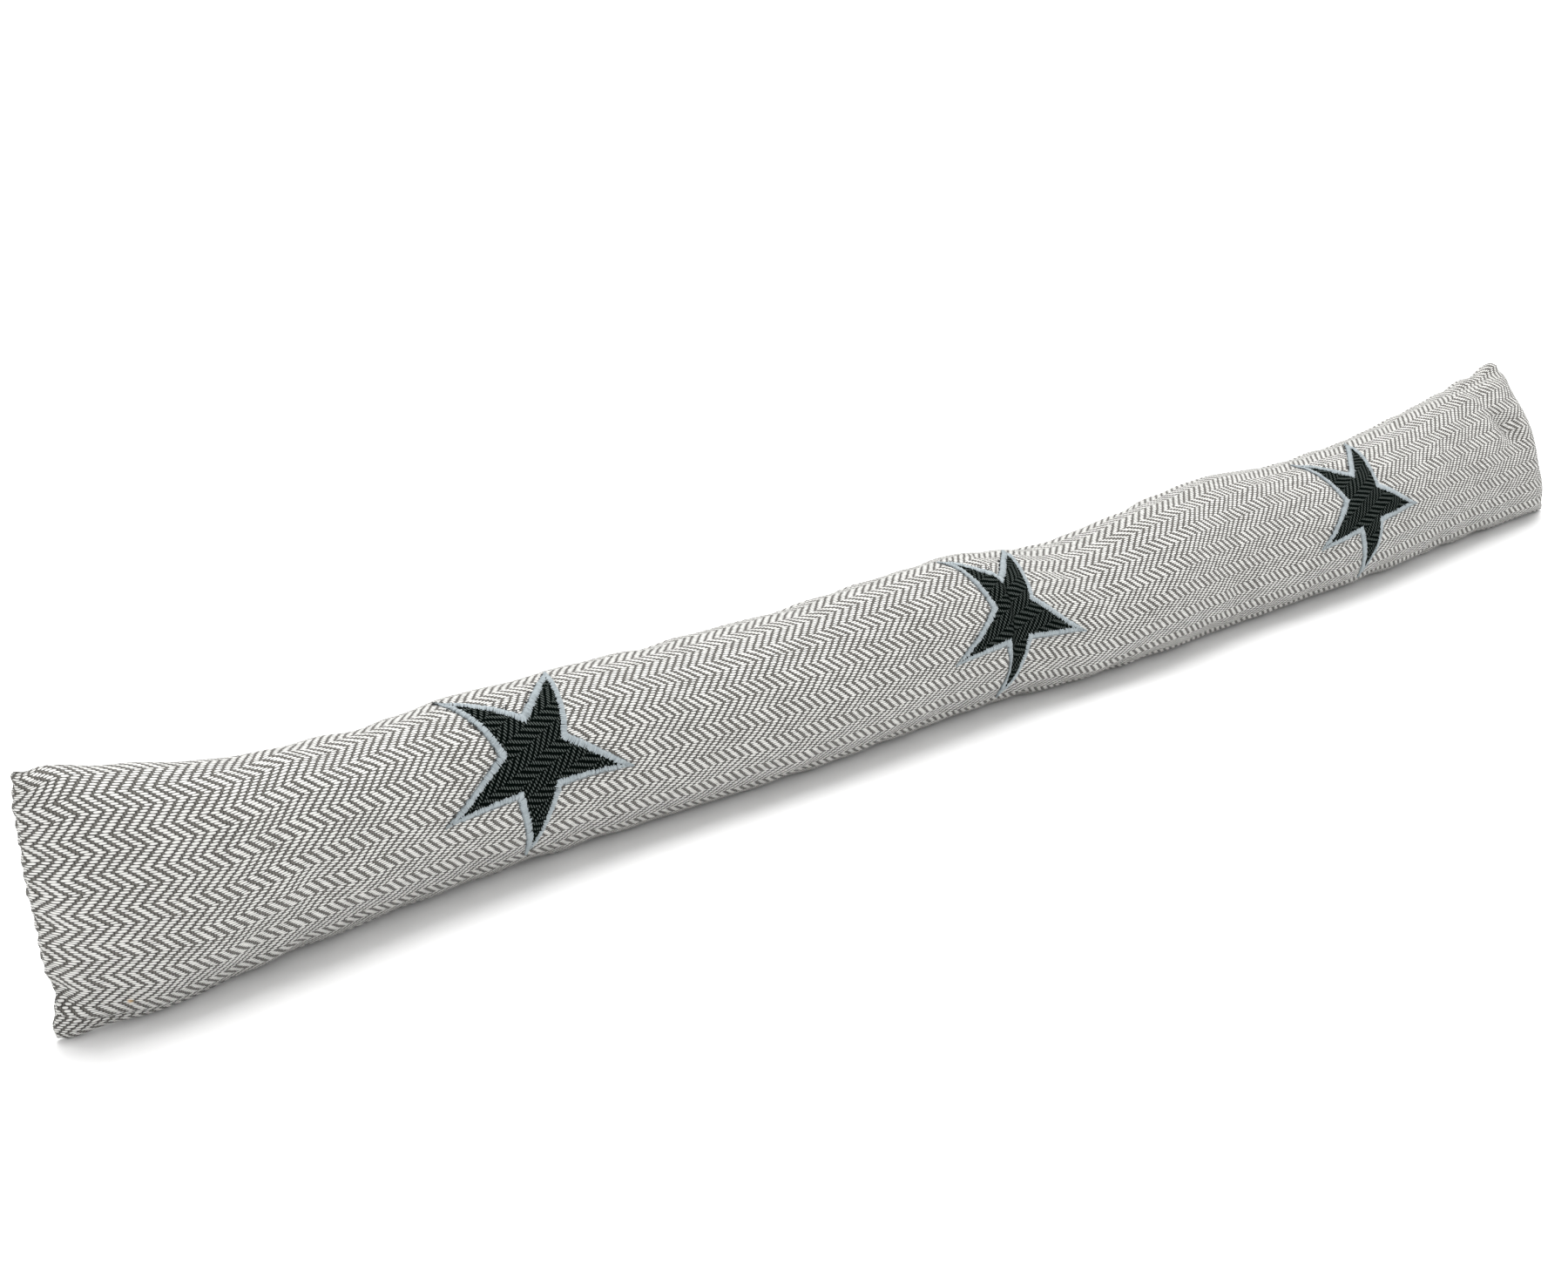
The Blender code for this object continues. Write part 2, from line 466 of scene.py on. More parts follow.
@dataclass
class Puffing:
    """Blender's cloth simulation, which fills the cover as stuffing does.

    Attributes:
        rows, columns: the grid that is simulated, along and round the tube
        shrunk: how far inside the CAD cover it starts
        tapered: how near the ends it starts on the CAD cover itself
        pressure: how hard the stuffing pushes
        spare: how much longer the cloth is than its start, as a share
        frames: how many frames are run
        cap: the most that a point may move
    """

    rows: int = 161
    columns: int = 40
    shrunk: float = 0.8 * MM
    tapered: float = 40 * MM
    pressure: float = 4.0
    spare: float = 0.008
    frames: int = 20
    cap: float = 2.0 * MM

    FABRIC = (
        ("quality", 8),
        ("mass", 0.3),
        ("tension_stiffness", 20),
        ("compression_stiffness", 20),
        ("shear_stiffness", 8),
        ("bending_stiffness", 0.4),
    )

    def run(self, cloth: ClothMap) -> ClothMap:
        """Puffs out the cloth.

        Args:
            cloth: the cover as the CAD model has it

        Returns:
            The cover with the dents and bulges that the simulation gave it.
        """
        along, across = cloth.grid(self.rows, self.columns)
        inward = np.minimum(along, cloth.length - along)[..., None]
        shrunk = self.shrunk * (1 - fade(inward, self.tapered))
        start = cloth.at(along, across) - cloth.normal(along, across) * shrunk
        sheet = closed_grid("stuffed_sheet", start)
        sew(sheet, 0.001 * MM)
        self._add_cloth(sheet)
        scene = bpy.context.scene
        for frame in range(1, self.frames + 1):
            scene.frame_set(frame)
        select_only(sheet)
        bpy.ops.object.modifier_apply(modifier="stuffing")
        scene.frame_set(1)
        moved = points_of(sheet.data).reshape(self.columns, self.rows, 3)
        moved = moved.transpose(1, 0, 2) - start
        far = np.linalg.norm(moved, axis=2, keepdims=True)
        moved *= np.tanh(far / self.cap) / np.maximum(far / self.cap, 1e-9)
        LOG.info("stuffing moved the cloth by up to %.1f mm", far.max() / MM)
        bpy.data.objects.remove(sheet, do_unlink=True)
        return ClothMap(start + moved, cloth.length, cloth.girth)

    def _add_cloth(self, sheet: Piece) -> None:
        """Adds the Cloth modifier, with the two end seams held."""
        place = np.arange(len(sheet.data.vertices)) % self.rows
        held = sheet.vertex_groups.new(name="end_seams")
        ends = np.flatnonzero((place == 0) | (place == self.rows - 1))
        held.add(ends.tolist(), 1.0, "REPLACE")
        cloth = sheet.modifiers.new("stuffing", "CLOTH").settings
        for name, value in self.FABRIC:
            setattr(cloth, name, value)
        cloth.use_pressure = True
        cloth.uniform_pressure_force = self.pressure
        cloth.effector_weights.gravity = 0
        cloth.vertex_group_mass = held.name
        cloth.shrink_min = -self.spare


# ---------------------------------------------------------------- relief on the cloth


@dataclass(frozen=True)
class Fold:
    """A soft trough, or a ridge where depth is negative, lying on the cloth.

    Attributes:
        along, across: its middle
        length, width: how far it reaches each way from its middle
        turn: the direction of its length, in degrees from along
        depth: how deep it is in the middle
    """

    along: float
    across: float
    length: float
    width: float
    turn: float
    depth: float

    def relief(self, along: Array, across: Array, girth: float) -> Array:
        """How far it lifts the cloth at these places.

        Args:
            along: places along the cloth
            across: places round the tube
            girth: the cloth's width round the tube

        Returns:
            The lift, which is negative in a trough.
        """
        cos, sin = math.cos(math.radians(self.turn)), math.sin(math.radians(self.turn))
        x = along - self.along
        y = (across - self.across + girth / 2) % girth - girth / 2
        lengthwise = (x * cos + y * sin) / self.length
        sideways = (y * cos - x * sin) / self.width
        return -self.depth * bump_shape(lengthwise) * bump_shape(sideways)


class Corner(Enum):
    """The corners of the two flat ends, as an end seam and which end of that seam."""

    LEFT_TOP = (0, 1)
    LEFT_BOTTOM = (0, -1)
    RIGHT_TOP = (-1, 1)
    RIGHT_BOTTOM = (-1, -1)

    def place(self, cloth: ClothMap) -> tuple[float, float]:
        """Where the corner is on the cloth, along and across.

        Args:
            cloth: the cover's form

        Returns:
            Its two places.
        """
        end, height = self.value
        ring = cloth.points[end]
        highest = int((ring[:, 2] * height).argmax())
        along = 0.0 if end == 0 else cloth.length
        return along, highest / len(ring) * cloth.girth


@dataclass(frozen=True)
class Pull:
    """A tug that shifts the cover near one point, through and through.

    Attributes:
        corner: the corner that the point is counted from
        inward: how far in from the end seam it is
        across: how far round from the corner it is, up the front
        reach: how far from there the tug is felt
        shift: how far it pulls, in x, y and z
    """

    corner: Corner
    inward: float
    across: float
    reach: float
    shift: Triple

    def place(self, cloth: ClothMap) -> tuple[float, float]:
        """Where the point is on the cloth, along and across."""
        along, across = self.corner.place(cloth)
        return along + (self.inward if along == 0 else -self.inward), across + self.across


@dataclass
class Star:
    """Where a star lies on the cloth.

    Attributes:
        number: which star it is, from the left
        along, across: its middle
        turn: the direction of its first point, in radians from along
    """

    POINTS = 5
    number: int
    along: float
    across: float
    turn: float

    @classmethod
    def from_frame(cls, number: int, cloth: ClothMap) -> Star:
        """Reads a star's place and turn from its CAD patch.

        Args:
            number: which star
            cloth: the cover as the CAD model has it

        Returns:
            The star.
        """
        patch = points_of(bpy.data.objects[f"star_patch_{number}"].data)
        along, across = cloth.grid(int(cloth.length / MM), int(cloth.girth / MM))
        tree = KDTree(along.size)
        for index, point in enumerate(cloth.at(along, across).reshape(-1, 3)):
            tree.insert(point, index)
        tree.balance()
        nearest = [tree.find(point)[1] for point in patch]
        places = np.stack([along.ravel()[nearest], across.ravel()[nearest]], 1)
        offsets = places - (places.max(0) + places.min(0)) / 2
        tips = cls._tips(offsets)
        middle = places[tips].mean(0)
        offsets = (places - middle)[tips]
        turn = np.angle(np.exp(1j * cls.POINTS * np.arctan2(*offsets.T[::-1])).sum())
        return cls(number, float(middle[0]), float(middle[1]), float(turn / cls.POINTS))

    @classmethod
    def _tips(cls, offsets: Array) -> list[int]:
        """The furthest place in each direction that a point of the star takes.

        Args:
            offsets: places about the star's middle

        Returns:
            The index of the furthest one, point by point.
        """
        angle, far = np.arctan2(*offsets.T[::-1]), np.hypot(*offsets.T)
        first = angle[far.argmax()]
        near = np.round((angle - first) / (TAU / cls.POINTS)) % cls.POINTS
        return [
            int(np.where(near == point, far, 0).argmax()) for point in range(cls.POINTS)
        ]

    def outline(self, tip: float, notch: float) -> Array:
        """The star's corners about its own middle, tips and notches in turn.

        Args:
            tip: the radius of the tips
            notch: the radius of the notches

        Returns:
            The corners, as rows of along and across.
        """
        corner = np.arange(2 * self.POINTS)
        radius = np.where(corner % 2, notch, tip)
        angle = self.turn + corner * math.pi / self.POINTS
        return np.stack([radius * np.cos(angle), radius * np.sin(angle)], 1)

    @staticmethod
    def from_edge(x: Array, y: Array, corners: Array) -> Array:
        """How far places on the star's own plane are from its outline.

        Args:
            x, y: the places about its middle
            corners: its outline

        Returns:
            The distances.
        """
        best = np.full(np.shape(x), np.inf)
        for a, b in zip(corners, np.roll(corners, -1, axis=0)):
            edge = b - a
            share = ((x - a[0]) * edge[0] + (y - a[1]) * edge[1]) / (edge @ edge)
            share = np.clip(share, 0, 1)
            far = np.hypot(x - a[0] - share * edge[0], y - a[1] - share * edge[1])
            best = np.minimum(best, far)
        return best


@dataclass
class Relief:
    """Everything finer than the tube's own form, as lift along the normal.

    Attributes:
        stars: the stars, whose stitching draws the cloth down
        folds: the creases that show
        lumps: how far the stuffing's lumps lift the cloth
        waves: how many waves they are made of
        stripe: the width of a herringbone stripe
        quilting: how far each stripe stands up between its reversals
        gather: how far the end seams' gathers lift it
        gather_step, gather_reach: their spacing, and how far in they run
        dent, dent_width: how far the stitching draws it down, and how widely
        stitch_tip, stitch_notch: the radii of the stitching's middle line
        seam_groove, seam_width: the lengthwise seam under the tube
    """

    stars: list[Star]
    folds: tuple[Fold, ...]
    lumps: float = 0.22 * MM
    waves: int = 28
    stripe: float = 6.1 * MM
    quilting: float = 0.10 * MM
    gather: float = 0.28 * MM
    gather_step: float = 6.2 * MM
    gather_reach: float = 14 * MM
    dent: float = 0.5 * MM
    dent_width: float = 4.0 * MM
    stitch_tip: float = 39.5 * MM
    stitch_notch: float = 14.6 * MM
    seam_groove: float = 0.5 * MM
    seam_width: float = 1.2 * MM

    def lift(self, along: Array, across: Array, cloth: ClothMap) -> Array:
        """How far the cloth at these places stands off the smooth form.

        Args:
            along: places along the cloth
            across: places round the tube
            cloth: the smooth form

        Returns:
            The lift along the normal.
        """
        girth = cloth.girth
        round_it = (across + girth / 2) % girth - girth / 2
        found = self._lumps(along, across, girth)
        found -= self.quilting * (1 - np.abs(np.sin(math.pi * across / self.stripe)))
        found -= self.seam_groove * bump_shape(round_it / self.seam_width)
        for end, phase in ((0.0, 0.4), (cloth.length, 2.1)):
            wave = np.sin(TAU * across / self.gather_step + phase)
            wave += 0.6 * np.sin(TAU * across / (1.7 * self.gather_step) + 3 * phase)
            inward = np.abs(along - end)
            found += self.gather * wave * fade(inward, self.gather_reach)
        for fold in self.folds:
            found += fold.relief(along, across, girth)
        for star in self.stars:
            x, y = along - star.along, across - star.across
            near = np.hypot(x, y) < 2 * self.stitch_tip
            corners = star.outline(self.stitch_tip, self.stitch_notch)
            far = star.from_edge(x[near], y[near], corners)
            found[near] -= self.dent * bump_shape(far / self.dent_width)
        return found

    def _lumps(self, along: Array, across: Array, girth: float) -> Array:
        """Soft lumps of stuffing, from waves that run in many directions.

        Args:
            along: places along the cloth
            across: places round the tube
            girth: the cloth's width round the tube

        Returns:
            The lift along the normal.
        """
        draw = np.random.default_rng(11)
        total = np.zeros(np.shape(along))
        for _ in range(self.waves):
            turns = int(draw.integers(-7, 8))
            wave_length = draw.uniform(22, 70) * MM
            phase = draw.uniform(0, TAU)
            slope = TAU * turns / girth
            total += np.sin(TAU * along / wave_length + slope * across + phase)
        return self.lumps * total / 3


@dataclass
class Cloth:
    """The finished cloth: its form, its relief and the tugs on it."""

    form: ClothMap
    relief: Relief
    pulls: tuple[Pull, ...]

    @property
    def length(self) -> float:
        """The cloth's length between the end seams."""
        return self.form.length

    @property
    def girth(self) -> float:
        """The cloth's width round the tube."""
        return self.form.girth

    def place(self, along: Array, across: Array, lift: Array | float = 0.0) -> Array:
        """The points at this height above these places of the cloth.

        Args:
            along: places along the cloth
            across: places round the tube
            lift: how far above the cloth, outwards

        Returns:
            The points, with 3 as the last axis.
        """
        along, across = np.asarray(along, float), np.asarray(across, float)
        outward = self.form.normal(along, across)
        height = self.relief.lift(along, across, self.form) + lift
        points = self.form.at(along, across) + outward * height[..., None]
        for pull in self.pulls:
            middle = self.form.at(*np.array(pull.place(self.form)).reshape(2, 1))[0]
            far = np.linalg.norm(points - middle, axis=-1) / pull.reach
            points = points + bump_shape(far)[..., None] * np.array(pull.shift)
        points[..., 2] = np.maximum(points[..., 2], 0)
        return points


# ---------------------------------------------------------------- node trees


@dataclass(frozen=True, eq=False)
class Signal:
    """A number in a node tree. Sums on it add Math nodes."""

    tree: bpy.types.NodeTree
    socket: Socket

    def math(self, operation: str, *others: Signal | float) -> Signal:
        """This number and others, put through one Math node.

        Args:
            operation: the node's operation
            others: its other inputs

        Returns:
            The node's answer.
        """
        node = self.tree.nodes.new("ShaderNodeMath")
        node.operation = operation
        self.tree.links.new(self.socket, node.inputs[0])
        for socket, other in zip(node.inputs[1:], others):
            if isinstance(other, Signal):
                self.tree.links.new(other.socket, socket)
            else:
                socket.default_value = other
        return Signal(self.tree, node.outputs[0])

    def __add__(self, other: Signal | float) -> Signal:
        """The sum."""
        return self.math("ADD", other)

    def __sub__(self, other: Signal | float) -> Signal:
        """The difference."""
        return self.math("SUBTRACT", other)

    def __mul__(self, other: Signal | float) -> Signal:
        """The product."""
        return self.math("MULTIPLY", other)

    def __truediv__(self, other: Signal | float) -> Signal:
        """The quotient."""
        return self.math("DIVIDE", other)

    def floor(self) -> Signal:
        """The whole number below this one."""
        return self.math("FLOOR")

    def fraction(self) -> Signal:
        """What is left above the whole number."""
        return self.math("FRACT")

    def modulo(self, other: Signal | float) -> Signal:
        """What is left above a multiple of other."""
        return self.math("FLOORED_MODULO", other)

    def above(self, other: Signal | float) -> Signal:
        """1 where this is more than other, and 0 elsewhere."""
        return self.math("GREATER_THAN", other)

    def flipped(self) -> Signal:
        """1 less this."""
        return self * -1.0 + 1.0

    def positive(self) -> Signal:
        """This, or 0 where it is less."""
        return self.math("MAXIMUM", 0.0)

    def capped(self) -> Signal:
        """This, or 1 where it is more."""
        return self.math("MINIMUM", 1.0)

    def rounded(self) -> Signal:
        """A half circle's height, where this runs from 0 to 1 across it."""
        centred = self * 2.0 - 1.0
        return (centred * centred).flipped().positive().math("SQRT")

    def mix(self, low: Signal | float, high: Signal | float) -> Signal:
        """low where this is 0, and high where it is 1."""
        spread = high if isinstance(high, Signal) else self * 0.0 + high
        return self * (spread - low) + low


@dataclass
class Tree:
    """A node tree with short ways to add the nodes that the finishes use."""

    tree: bpy.types.NodeTree

    def node(self, kind: str, **settings: object) -> bpy.types.Node:
        """Adds a node with these settings."""
        made = self.tree.nodes.new(kind)
        for name, value in settings.items():
            setattr(made, name, value)
        return made

    def wire(self, source: Socket, target: Socket) -> None:
        """Joins two sockets."""
        self.tree.links.new(source, target)

    def signal(self, socket: Socket) -> Signal:
        """A socket as a Signal."""
        return Signal(self.tree, socket)

    def uv(self, name: str) -> Socket:
        """The piece's own UV map of this name."""
        return self.node("ShaderNodeUVMap", uv_map=name).outputs["UV"]

    def apart(self, vector: Socket) -> tuple[Signal, Signal]:
        """A vector's x and y."""
        split = self.node("ShaderNodeSeparateXYZ")
        self.wire(vector, split.inputs[0])
        return self.signal(split.outputs["X"]), self.signal(split.outputs["Y"])

    def noise(self, vector: Socket, scale: float, detail: float) -> bpy.types.Node:
        """A Noise Texture of this scale, on this vector.

        Args:
            vector: the place that it is read at
            scale: how fine it is
            detail: how many finer layers it has

        Returns:
            The node.
        """
        made = self.node("ShaderNodeTexNoise")
        made.inputs["Scale"].default_value = scale
        made.inputs["Detail"].default_value = detail
        self.wire(vector, made.inputs["Vector"])
        return made

    def cloudy(self, vector: Socket, scale: float, detail: float) -> Signal:
        """A Noise Texture's own number, from 0 to 1."""
        return self.signal(self.noise(vector, scale, detail).outputs["Fac"])

    def bump(self, height: Signal, distance: float) -> Socket:
        """A normal from this height, which 1 lifts by this distance.

        Args:
            height: the height, from 0 to 1
            distance: how high 1 stands

        Returns:
            The normal.
        """
        made = self.node("ShaderNodeBump")
        made.inputs["Distance"].default_value = distance
        self.wire(height.socket, made.inputs["Height"])
        return made.outputs[0]

    def chance(self, seed: Signal) -> Signal:
        """A random number from 0 to 1 for each whole seed."""
        made = self.node("ShaderNodeTexWhiteNoise", noise_dimensions="1D")
        self.wire(seed.socket, made.inputs["W"])
        return self.signal(made.outputs["Value"])

    def blend(
        self,
        share: Signal,
        low: Socket | tuple[float, ...],
        high: Socket | tuple[float, ...],
    ) -> Socket:
        """Two colours mixed by a share.

        Args:
            share: how much of the second one shows
            low: the first colour
            high: the second colour

        Returns:
            The mixed colour.
        """
        made = self.node("ShaderNodeMix", data_type="RGBA")
        self.wire(share.socket, made.inputs["Factor"])
        for source, name in ((low, "A"), (high, "B")):
            socket = next(s for s in made.inputs if s.name == name and s.type == "RGBA")
            if isinstance(source, Socket):
                self.wire(source, socket)
            else:
                socket.default_value = (*source, 1.0)
        return next(s for s in made.outputs if s.type == "RGBA")


def start_material(
    name: str, settings: dict[str, object]
) -> tuple[Material, Tree, bpy.types.bpy_prop_collection]:
    """Makes a material with a Principled shader.

    Args:
        name: the material's name
        settings: values for the shader's own sockets, by name

    Returns:
        The material, its tree, and its shader's inputs.
    """
    made = bpy.data.materials.new(name)
    made.use_nodes = True
    inputs = made.node_tree.nodes["Principled BSDF"].inputs
    for socket, value in settings.items():
        inputs[socket].default_value = value
    return made, Tree(made.node_tree), inputs


@dataclass(frozen=True)
class HerringboneGroup:
    """The weave as a node group: a two-and-two twill that reverses stripe by stripe.

    The yarns that show run along the group's x, and each shows as slanted dashes, called
    floats. The inputs are the place on the cloth and the yarns' sizes. It puts out
    where a float is on top, the height of the yarns, a mask of painted shade beside the
    floats and between the crossing yarns, and a random tone for each yarn. Float sizes
    and the slant are counted in pitches.

    Attributes:
        name: the group's name
        repeat: how many crossings the twill takes to repeat
        cord: how high the crossing yarns stand beside the floats
        reach: how fast the painted shade beside a float fades
        gap: how much of that painted shade lies between two crossing yarns
        lengths, widths: the least share of a float's size, and how much more it may have
        seeds: how a float's chance comes from its yarn, its place and its stripe
        drift_scale: how finely the yarns wander
        inputs: the group's number inputs and their usual values
    """

    name: str = "herringbone_weave"
    repeat: float = 4.0
    cord: float = 0.22
    reach: float = 0.38
    gap: float = 0.8
    lengths: tuple[float, float] = (0.88, 0.24)
    widths: tuple[float, float] = (0.85, 0.3)
    seeds: Triple = (7.31, 3.17, 0.7)
    drift_scale: float = 300.0
    inputs: tuple[tuple[str, float], ...] = (
        ("Yarn Pitch", 0.875 * MM),
        ("Crossing Pitch", 1.0 * MM),
        ("Stripe Yarns", 7.0),
        ("Reverse Along", 0.0),
        ("Float Length", 2.9),
        ("Float Width", 0.98),
        ("Float Edge", 2.2),
        ("Float Taper", 2.5),
        ("Float Slant", -0.06),
        ("Wander", 0.35 * MM),
    )

    def build(self) -> bpy.types.NodeTree:
        """Makes the group once, and gives it back after that."""
        made = bpy.data.node_groups.get(self.name)
        if made:
            return made
        made = bpy.data.node_groups.new(self.name, "ShaderNodeTree")
        add = made.interface.new_socket
        add("Cloth", in_out="INPUT", socket_type="NodeSocketVector")
        for name, value in self.inputs:
            socket = add(name, in_out="INPUT", socket_type="NodeSocketFloat")
            socket.default_value = value
        for name in ("Float", "Height", "Crevice Shade", "Shade"):
            add(name, in_out="OUTPUT", socket_type="NodeSocketFloat")
        tree = Tree(made)
        entry, leave = tree.node("NodeGroupInput"), tree.node("NodeGroupOutput")
        given = {name: tree.signal(entry.outputs[name]) for name, _ in self.inputs}
        for name, value in self._weave(tree, entry.outputs["Cloth"], given).items():
            tree.wire(value.socket, leave.inputs[name])
        return made

    def _weave(
        self, tree: Tree, cloth: Socket, given: dict[str, Signal]
    ) -> dict[str, Signal]:
        """Works out the weave from the place on the cloth.

        Args:
            tree: the group's tree
            cloth: the place on the cloth
            given: the group's number inputs, by name

        Returns:
            The group's outputs, by name.
        """
        along, across = self._wandered(tree, cloth, given["Wander"])
        column, row = along / given["Crossing Pitch"], across / given["Yarn Pitch"]
        near = shade = None
        for neighbour in (-1.0, 0.0, 1.0):
            yarn = row.floor() + neighbour
            level, chance = self._float(tree, column, row, yarn, given)
            if near is None:
                near, shade = level, chance
            else:
                shade = level.above(near).mix(shade, chance)
                near = near.math("MAXIMUM", level)
        crossing = column.fraction().rounded()
        on_top = (near * given["Float Edge"]).positive().capped()
        # painted shade: the mask is dark beside each float and between the crossing
        # yarns, where shade falls
        beside = (near * self.reach + 1.0).positive().capped()
        gap = crossing.flipped()
        deep = (beside * beside + gap * gap * self.gap).capped()
        height = near.positive().math("SQRT")
        return {
            "Float": on_top,
            "Height": height.math("MAXIMUM", crossing * self.cord),
            "Crevice Shade": deep * on_top.flipped(),
            "Shade": shade,
        }

    def _float(
        self,
        tree: Tree,
        column: Signal,
        row: Signal,
        yarn: Signal,
        given: dict[str, Signal],
    ) -> tuple[Signal, Signal]:
        """How far inside a yarn's float a place is, and a chance for that float.

        Args:
            tree: the group's tree
            column, row: the place, counted in pitches
            yarn: the whole number of the yarn
            given: the group's number inputs, by name

        Returns:
            1 in a float's middle, 0 at its edge and less outside, and a chance.
        """
        counted = given["Reverse Along"].mix(yarn, column)
        stripe = (counted / given["Stripe Yarns"]).floor()
        way = stripe.modulo(2.0) * -2.0 + 1.0
        stepped = column + way * yarn
        start = (stepped / self.repeat).floor()
        by_yarn, by_start, by_stripe = self.seeds
        chance = tree.chance(yarn * by_yarn + start * by_start + stripe * by_stripe)
        (least, more), usual = self.lengths, given["Float Length"]
        length = usual * (chance * more + least)
        along = (stepped.modulo(self.repeat) - usual * 0.5) / (length * 0.5)
        slope = along * length * given["Float Slant"] * 0.5
        least, more = self.widths
        width = given["Float Width"] * (chance * more + least)
        sideways = (row - yarn - 0.5 - slope) / (width * 0.5)
        end = along.math("ABSOLUTE").math("POWER", given["Float Taper"])
        return end * -1.0 - sideways * sideways + 1.0, chance

    def _wandered(
        self, tree: Tree, cloth: Socket, wander: Signal
    ) -> tuple[Signal, Signal]:
        """The place on the cloth, shifted a little so that no yarn runs dead straight.

        Args:
            tree: the group's tree
            cloth: the place on the cloth
            wander: how far it may shift

        Returns:
            The shifted place, along and across.
        """
        along, across = tree.apart(cloth)
        x, y = tree.apart(tree.noise(cloth, self.drift_scale, 2.0).outputs["Color"])
        return along + (x - 0.5) * wander * 2.0, across + (y - 0.5) * wander


# ---------------------------------------------------------------- finishes


@dataclass(frozen=True)
class ClothFinish:
    """A herringbone cloth's colours and yarns.

    Attributes:
        name: the material's name
        floats: the colour of the yarns that show as dashes
        ground: the colour of the yarns that cross them
        crevice_shade: the colour of the painted shade down between the yarns and beside
            the floats
        weave: the weave group's inputs that differ from its own, by name
        turn: how far the dashes run from along, in degrees
        relief: the yarns' height
        variation: how much darker a float may be
        depth: how dark the painted shade is beside a float and between the yarns
        roughness, sheen, specular: how matt it is, how much its fibres catch the light,
            and how much it shines
        fibre_scale, fine_scale, broad_scale: how finely its fibres, its mottling and its
        patches of painted shade run
        darkening: how much a float darkens by its chance and its mottling, which are its
            own tone, and by its depth, which is painted shade where it lies low
        fleck: the place of one coloured slub, if it has one
        fleck_size, fleck_colour: the slub's radius and colour
    """

    name: str
    floats: Triple
    ground: Triple
    crevice_shade: Triple
    weave: tuple[tuple[str, float], ...] = ()
    turn: float = 0.0
    relief: float = 0.6 * MM
    variation: float = 0.3
    depth: float = 0.6
    roughness: float = 0.9
    sheen: float = 0.0
    specular: float = 0.2
    fibre_scale: float = 9000.0
    fine_scale: float = 2500.0
    broad_scale: float = 700.0
    darkening: Triple = (0.45, 0.5, 0.9)
    fleck: tuple[float, float] | None = None
    fleck_size: float = 1.1 * MM
    fleck_colour: Triple = (0.62, 0.40, 0.18)

    def build(self) -> Material:
        """Makes the material."""
        made, tree, sockets = start_material(
            self.name,
            {
                "Roughness": self.roughness,
                "Sheen Weight": self.sheen,
                "Sheen Roughness": 0.5,
                "Specular IOR Level": self.specular,
            },
        )
        mapping = tree.node("ShaderNodeMapping")
        mapping.inputs["Rotation"].default_value[2] = -math.radians(self.turn)
        tree.wire(tree.uv(CLOTH_MAP), mapping.inputs["Vector"])
        place = mapping.outputs[0]
        weave = tree.node("ShaderNodeGroup", node_tree=HerringboneGroup().build())
        for name, value in self.weave:
            weave.inputs[name].default_value = value
        tree.wire(place, weave.inputs["Cloth"])
        tree.wire(self._colour(tree, weave, place), sockets["Base Color"])
        fibres = (tree.cloudy(place, self.fibre_scale, 2.0) - 0.5) * 0.2
        height = tree.signal(weave.outputs["Height"]) + fibres
        tree.wire(tree.bump(height, self.relief), sockets["Normal"])
        return made

    def _colour(self, tree: Tree, weave: bpy.types.Node, place: Socket) -> Socket:
        """The cloth's colour: its yarns and their own tones, with painted shade where a
        float lies low and in the ground beside and between them.

        Args:
            tree: the material's tree
            weave: the weave group's node
            place: the place on the cloth

        Returns:
            The colour.
        """
        fine = tree.cloudy(place, self.fine_scale, 3.0)
        broad = tree.cloudy(place, self.broad_scale, 2.0)
        height = tree.signal(weave.outputs["Height"])
        shade = tree.signal(weave.outputs["Shade"])
        # painted shade: a float darkens where it lies low, by its depth; its chance and
        # its mottling are its own tone
        by_chance, by_mottling, shade_by_depth = self.darkening
        darker = shade * by_chance + fine * by_mottling + height.flipped() * shade_by_depth
        darker = (darker * self.variation).capped()
        floats = tree.blend(darker, self.floats, self.ground)
        # painted shade: the ground darkens towards its darkest colour beside the floats
        # and between the crossing yarns, in broad patches
        painted_shade = tree.signal(weave.outputs["Crevice Shade"]) * self.depth * (broad * 1.6 + 0.2)
        ground = tree.blend(painted_shade.capped(), self.ground, self.crevice_shade)
        yarns = tree.blend(tree.signal(weave.outputs["Float"]), ground, floats)
        if self.fleck is None:
            return yarns
        x, y = tree.apart(place)
        x, y = x - self.fleck[0], y - self.fleck[1]
        far = (x * x + y * y).math("SQRT") / self.fleck_size
        spot = (far * -1.0 + 1.2).positive().capped()
        return tree.blend(spot * 0.8, yarns, self.fleck_colour)


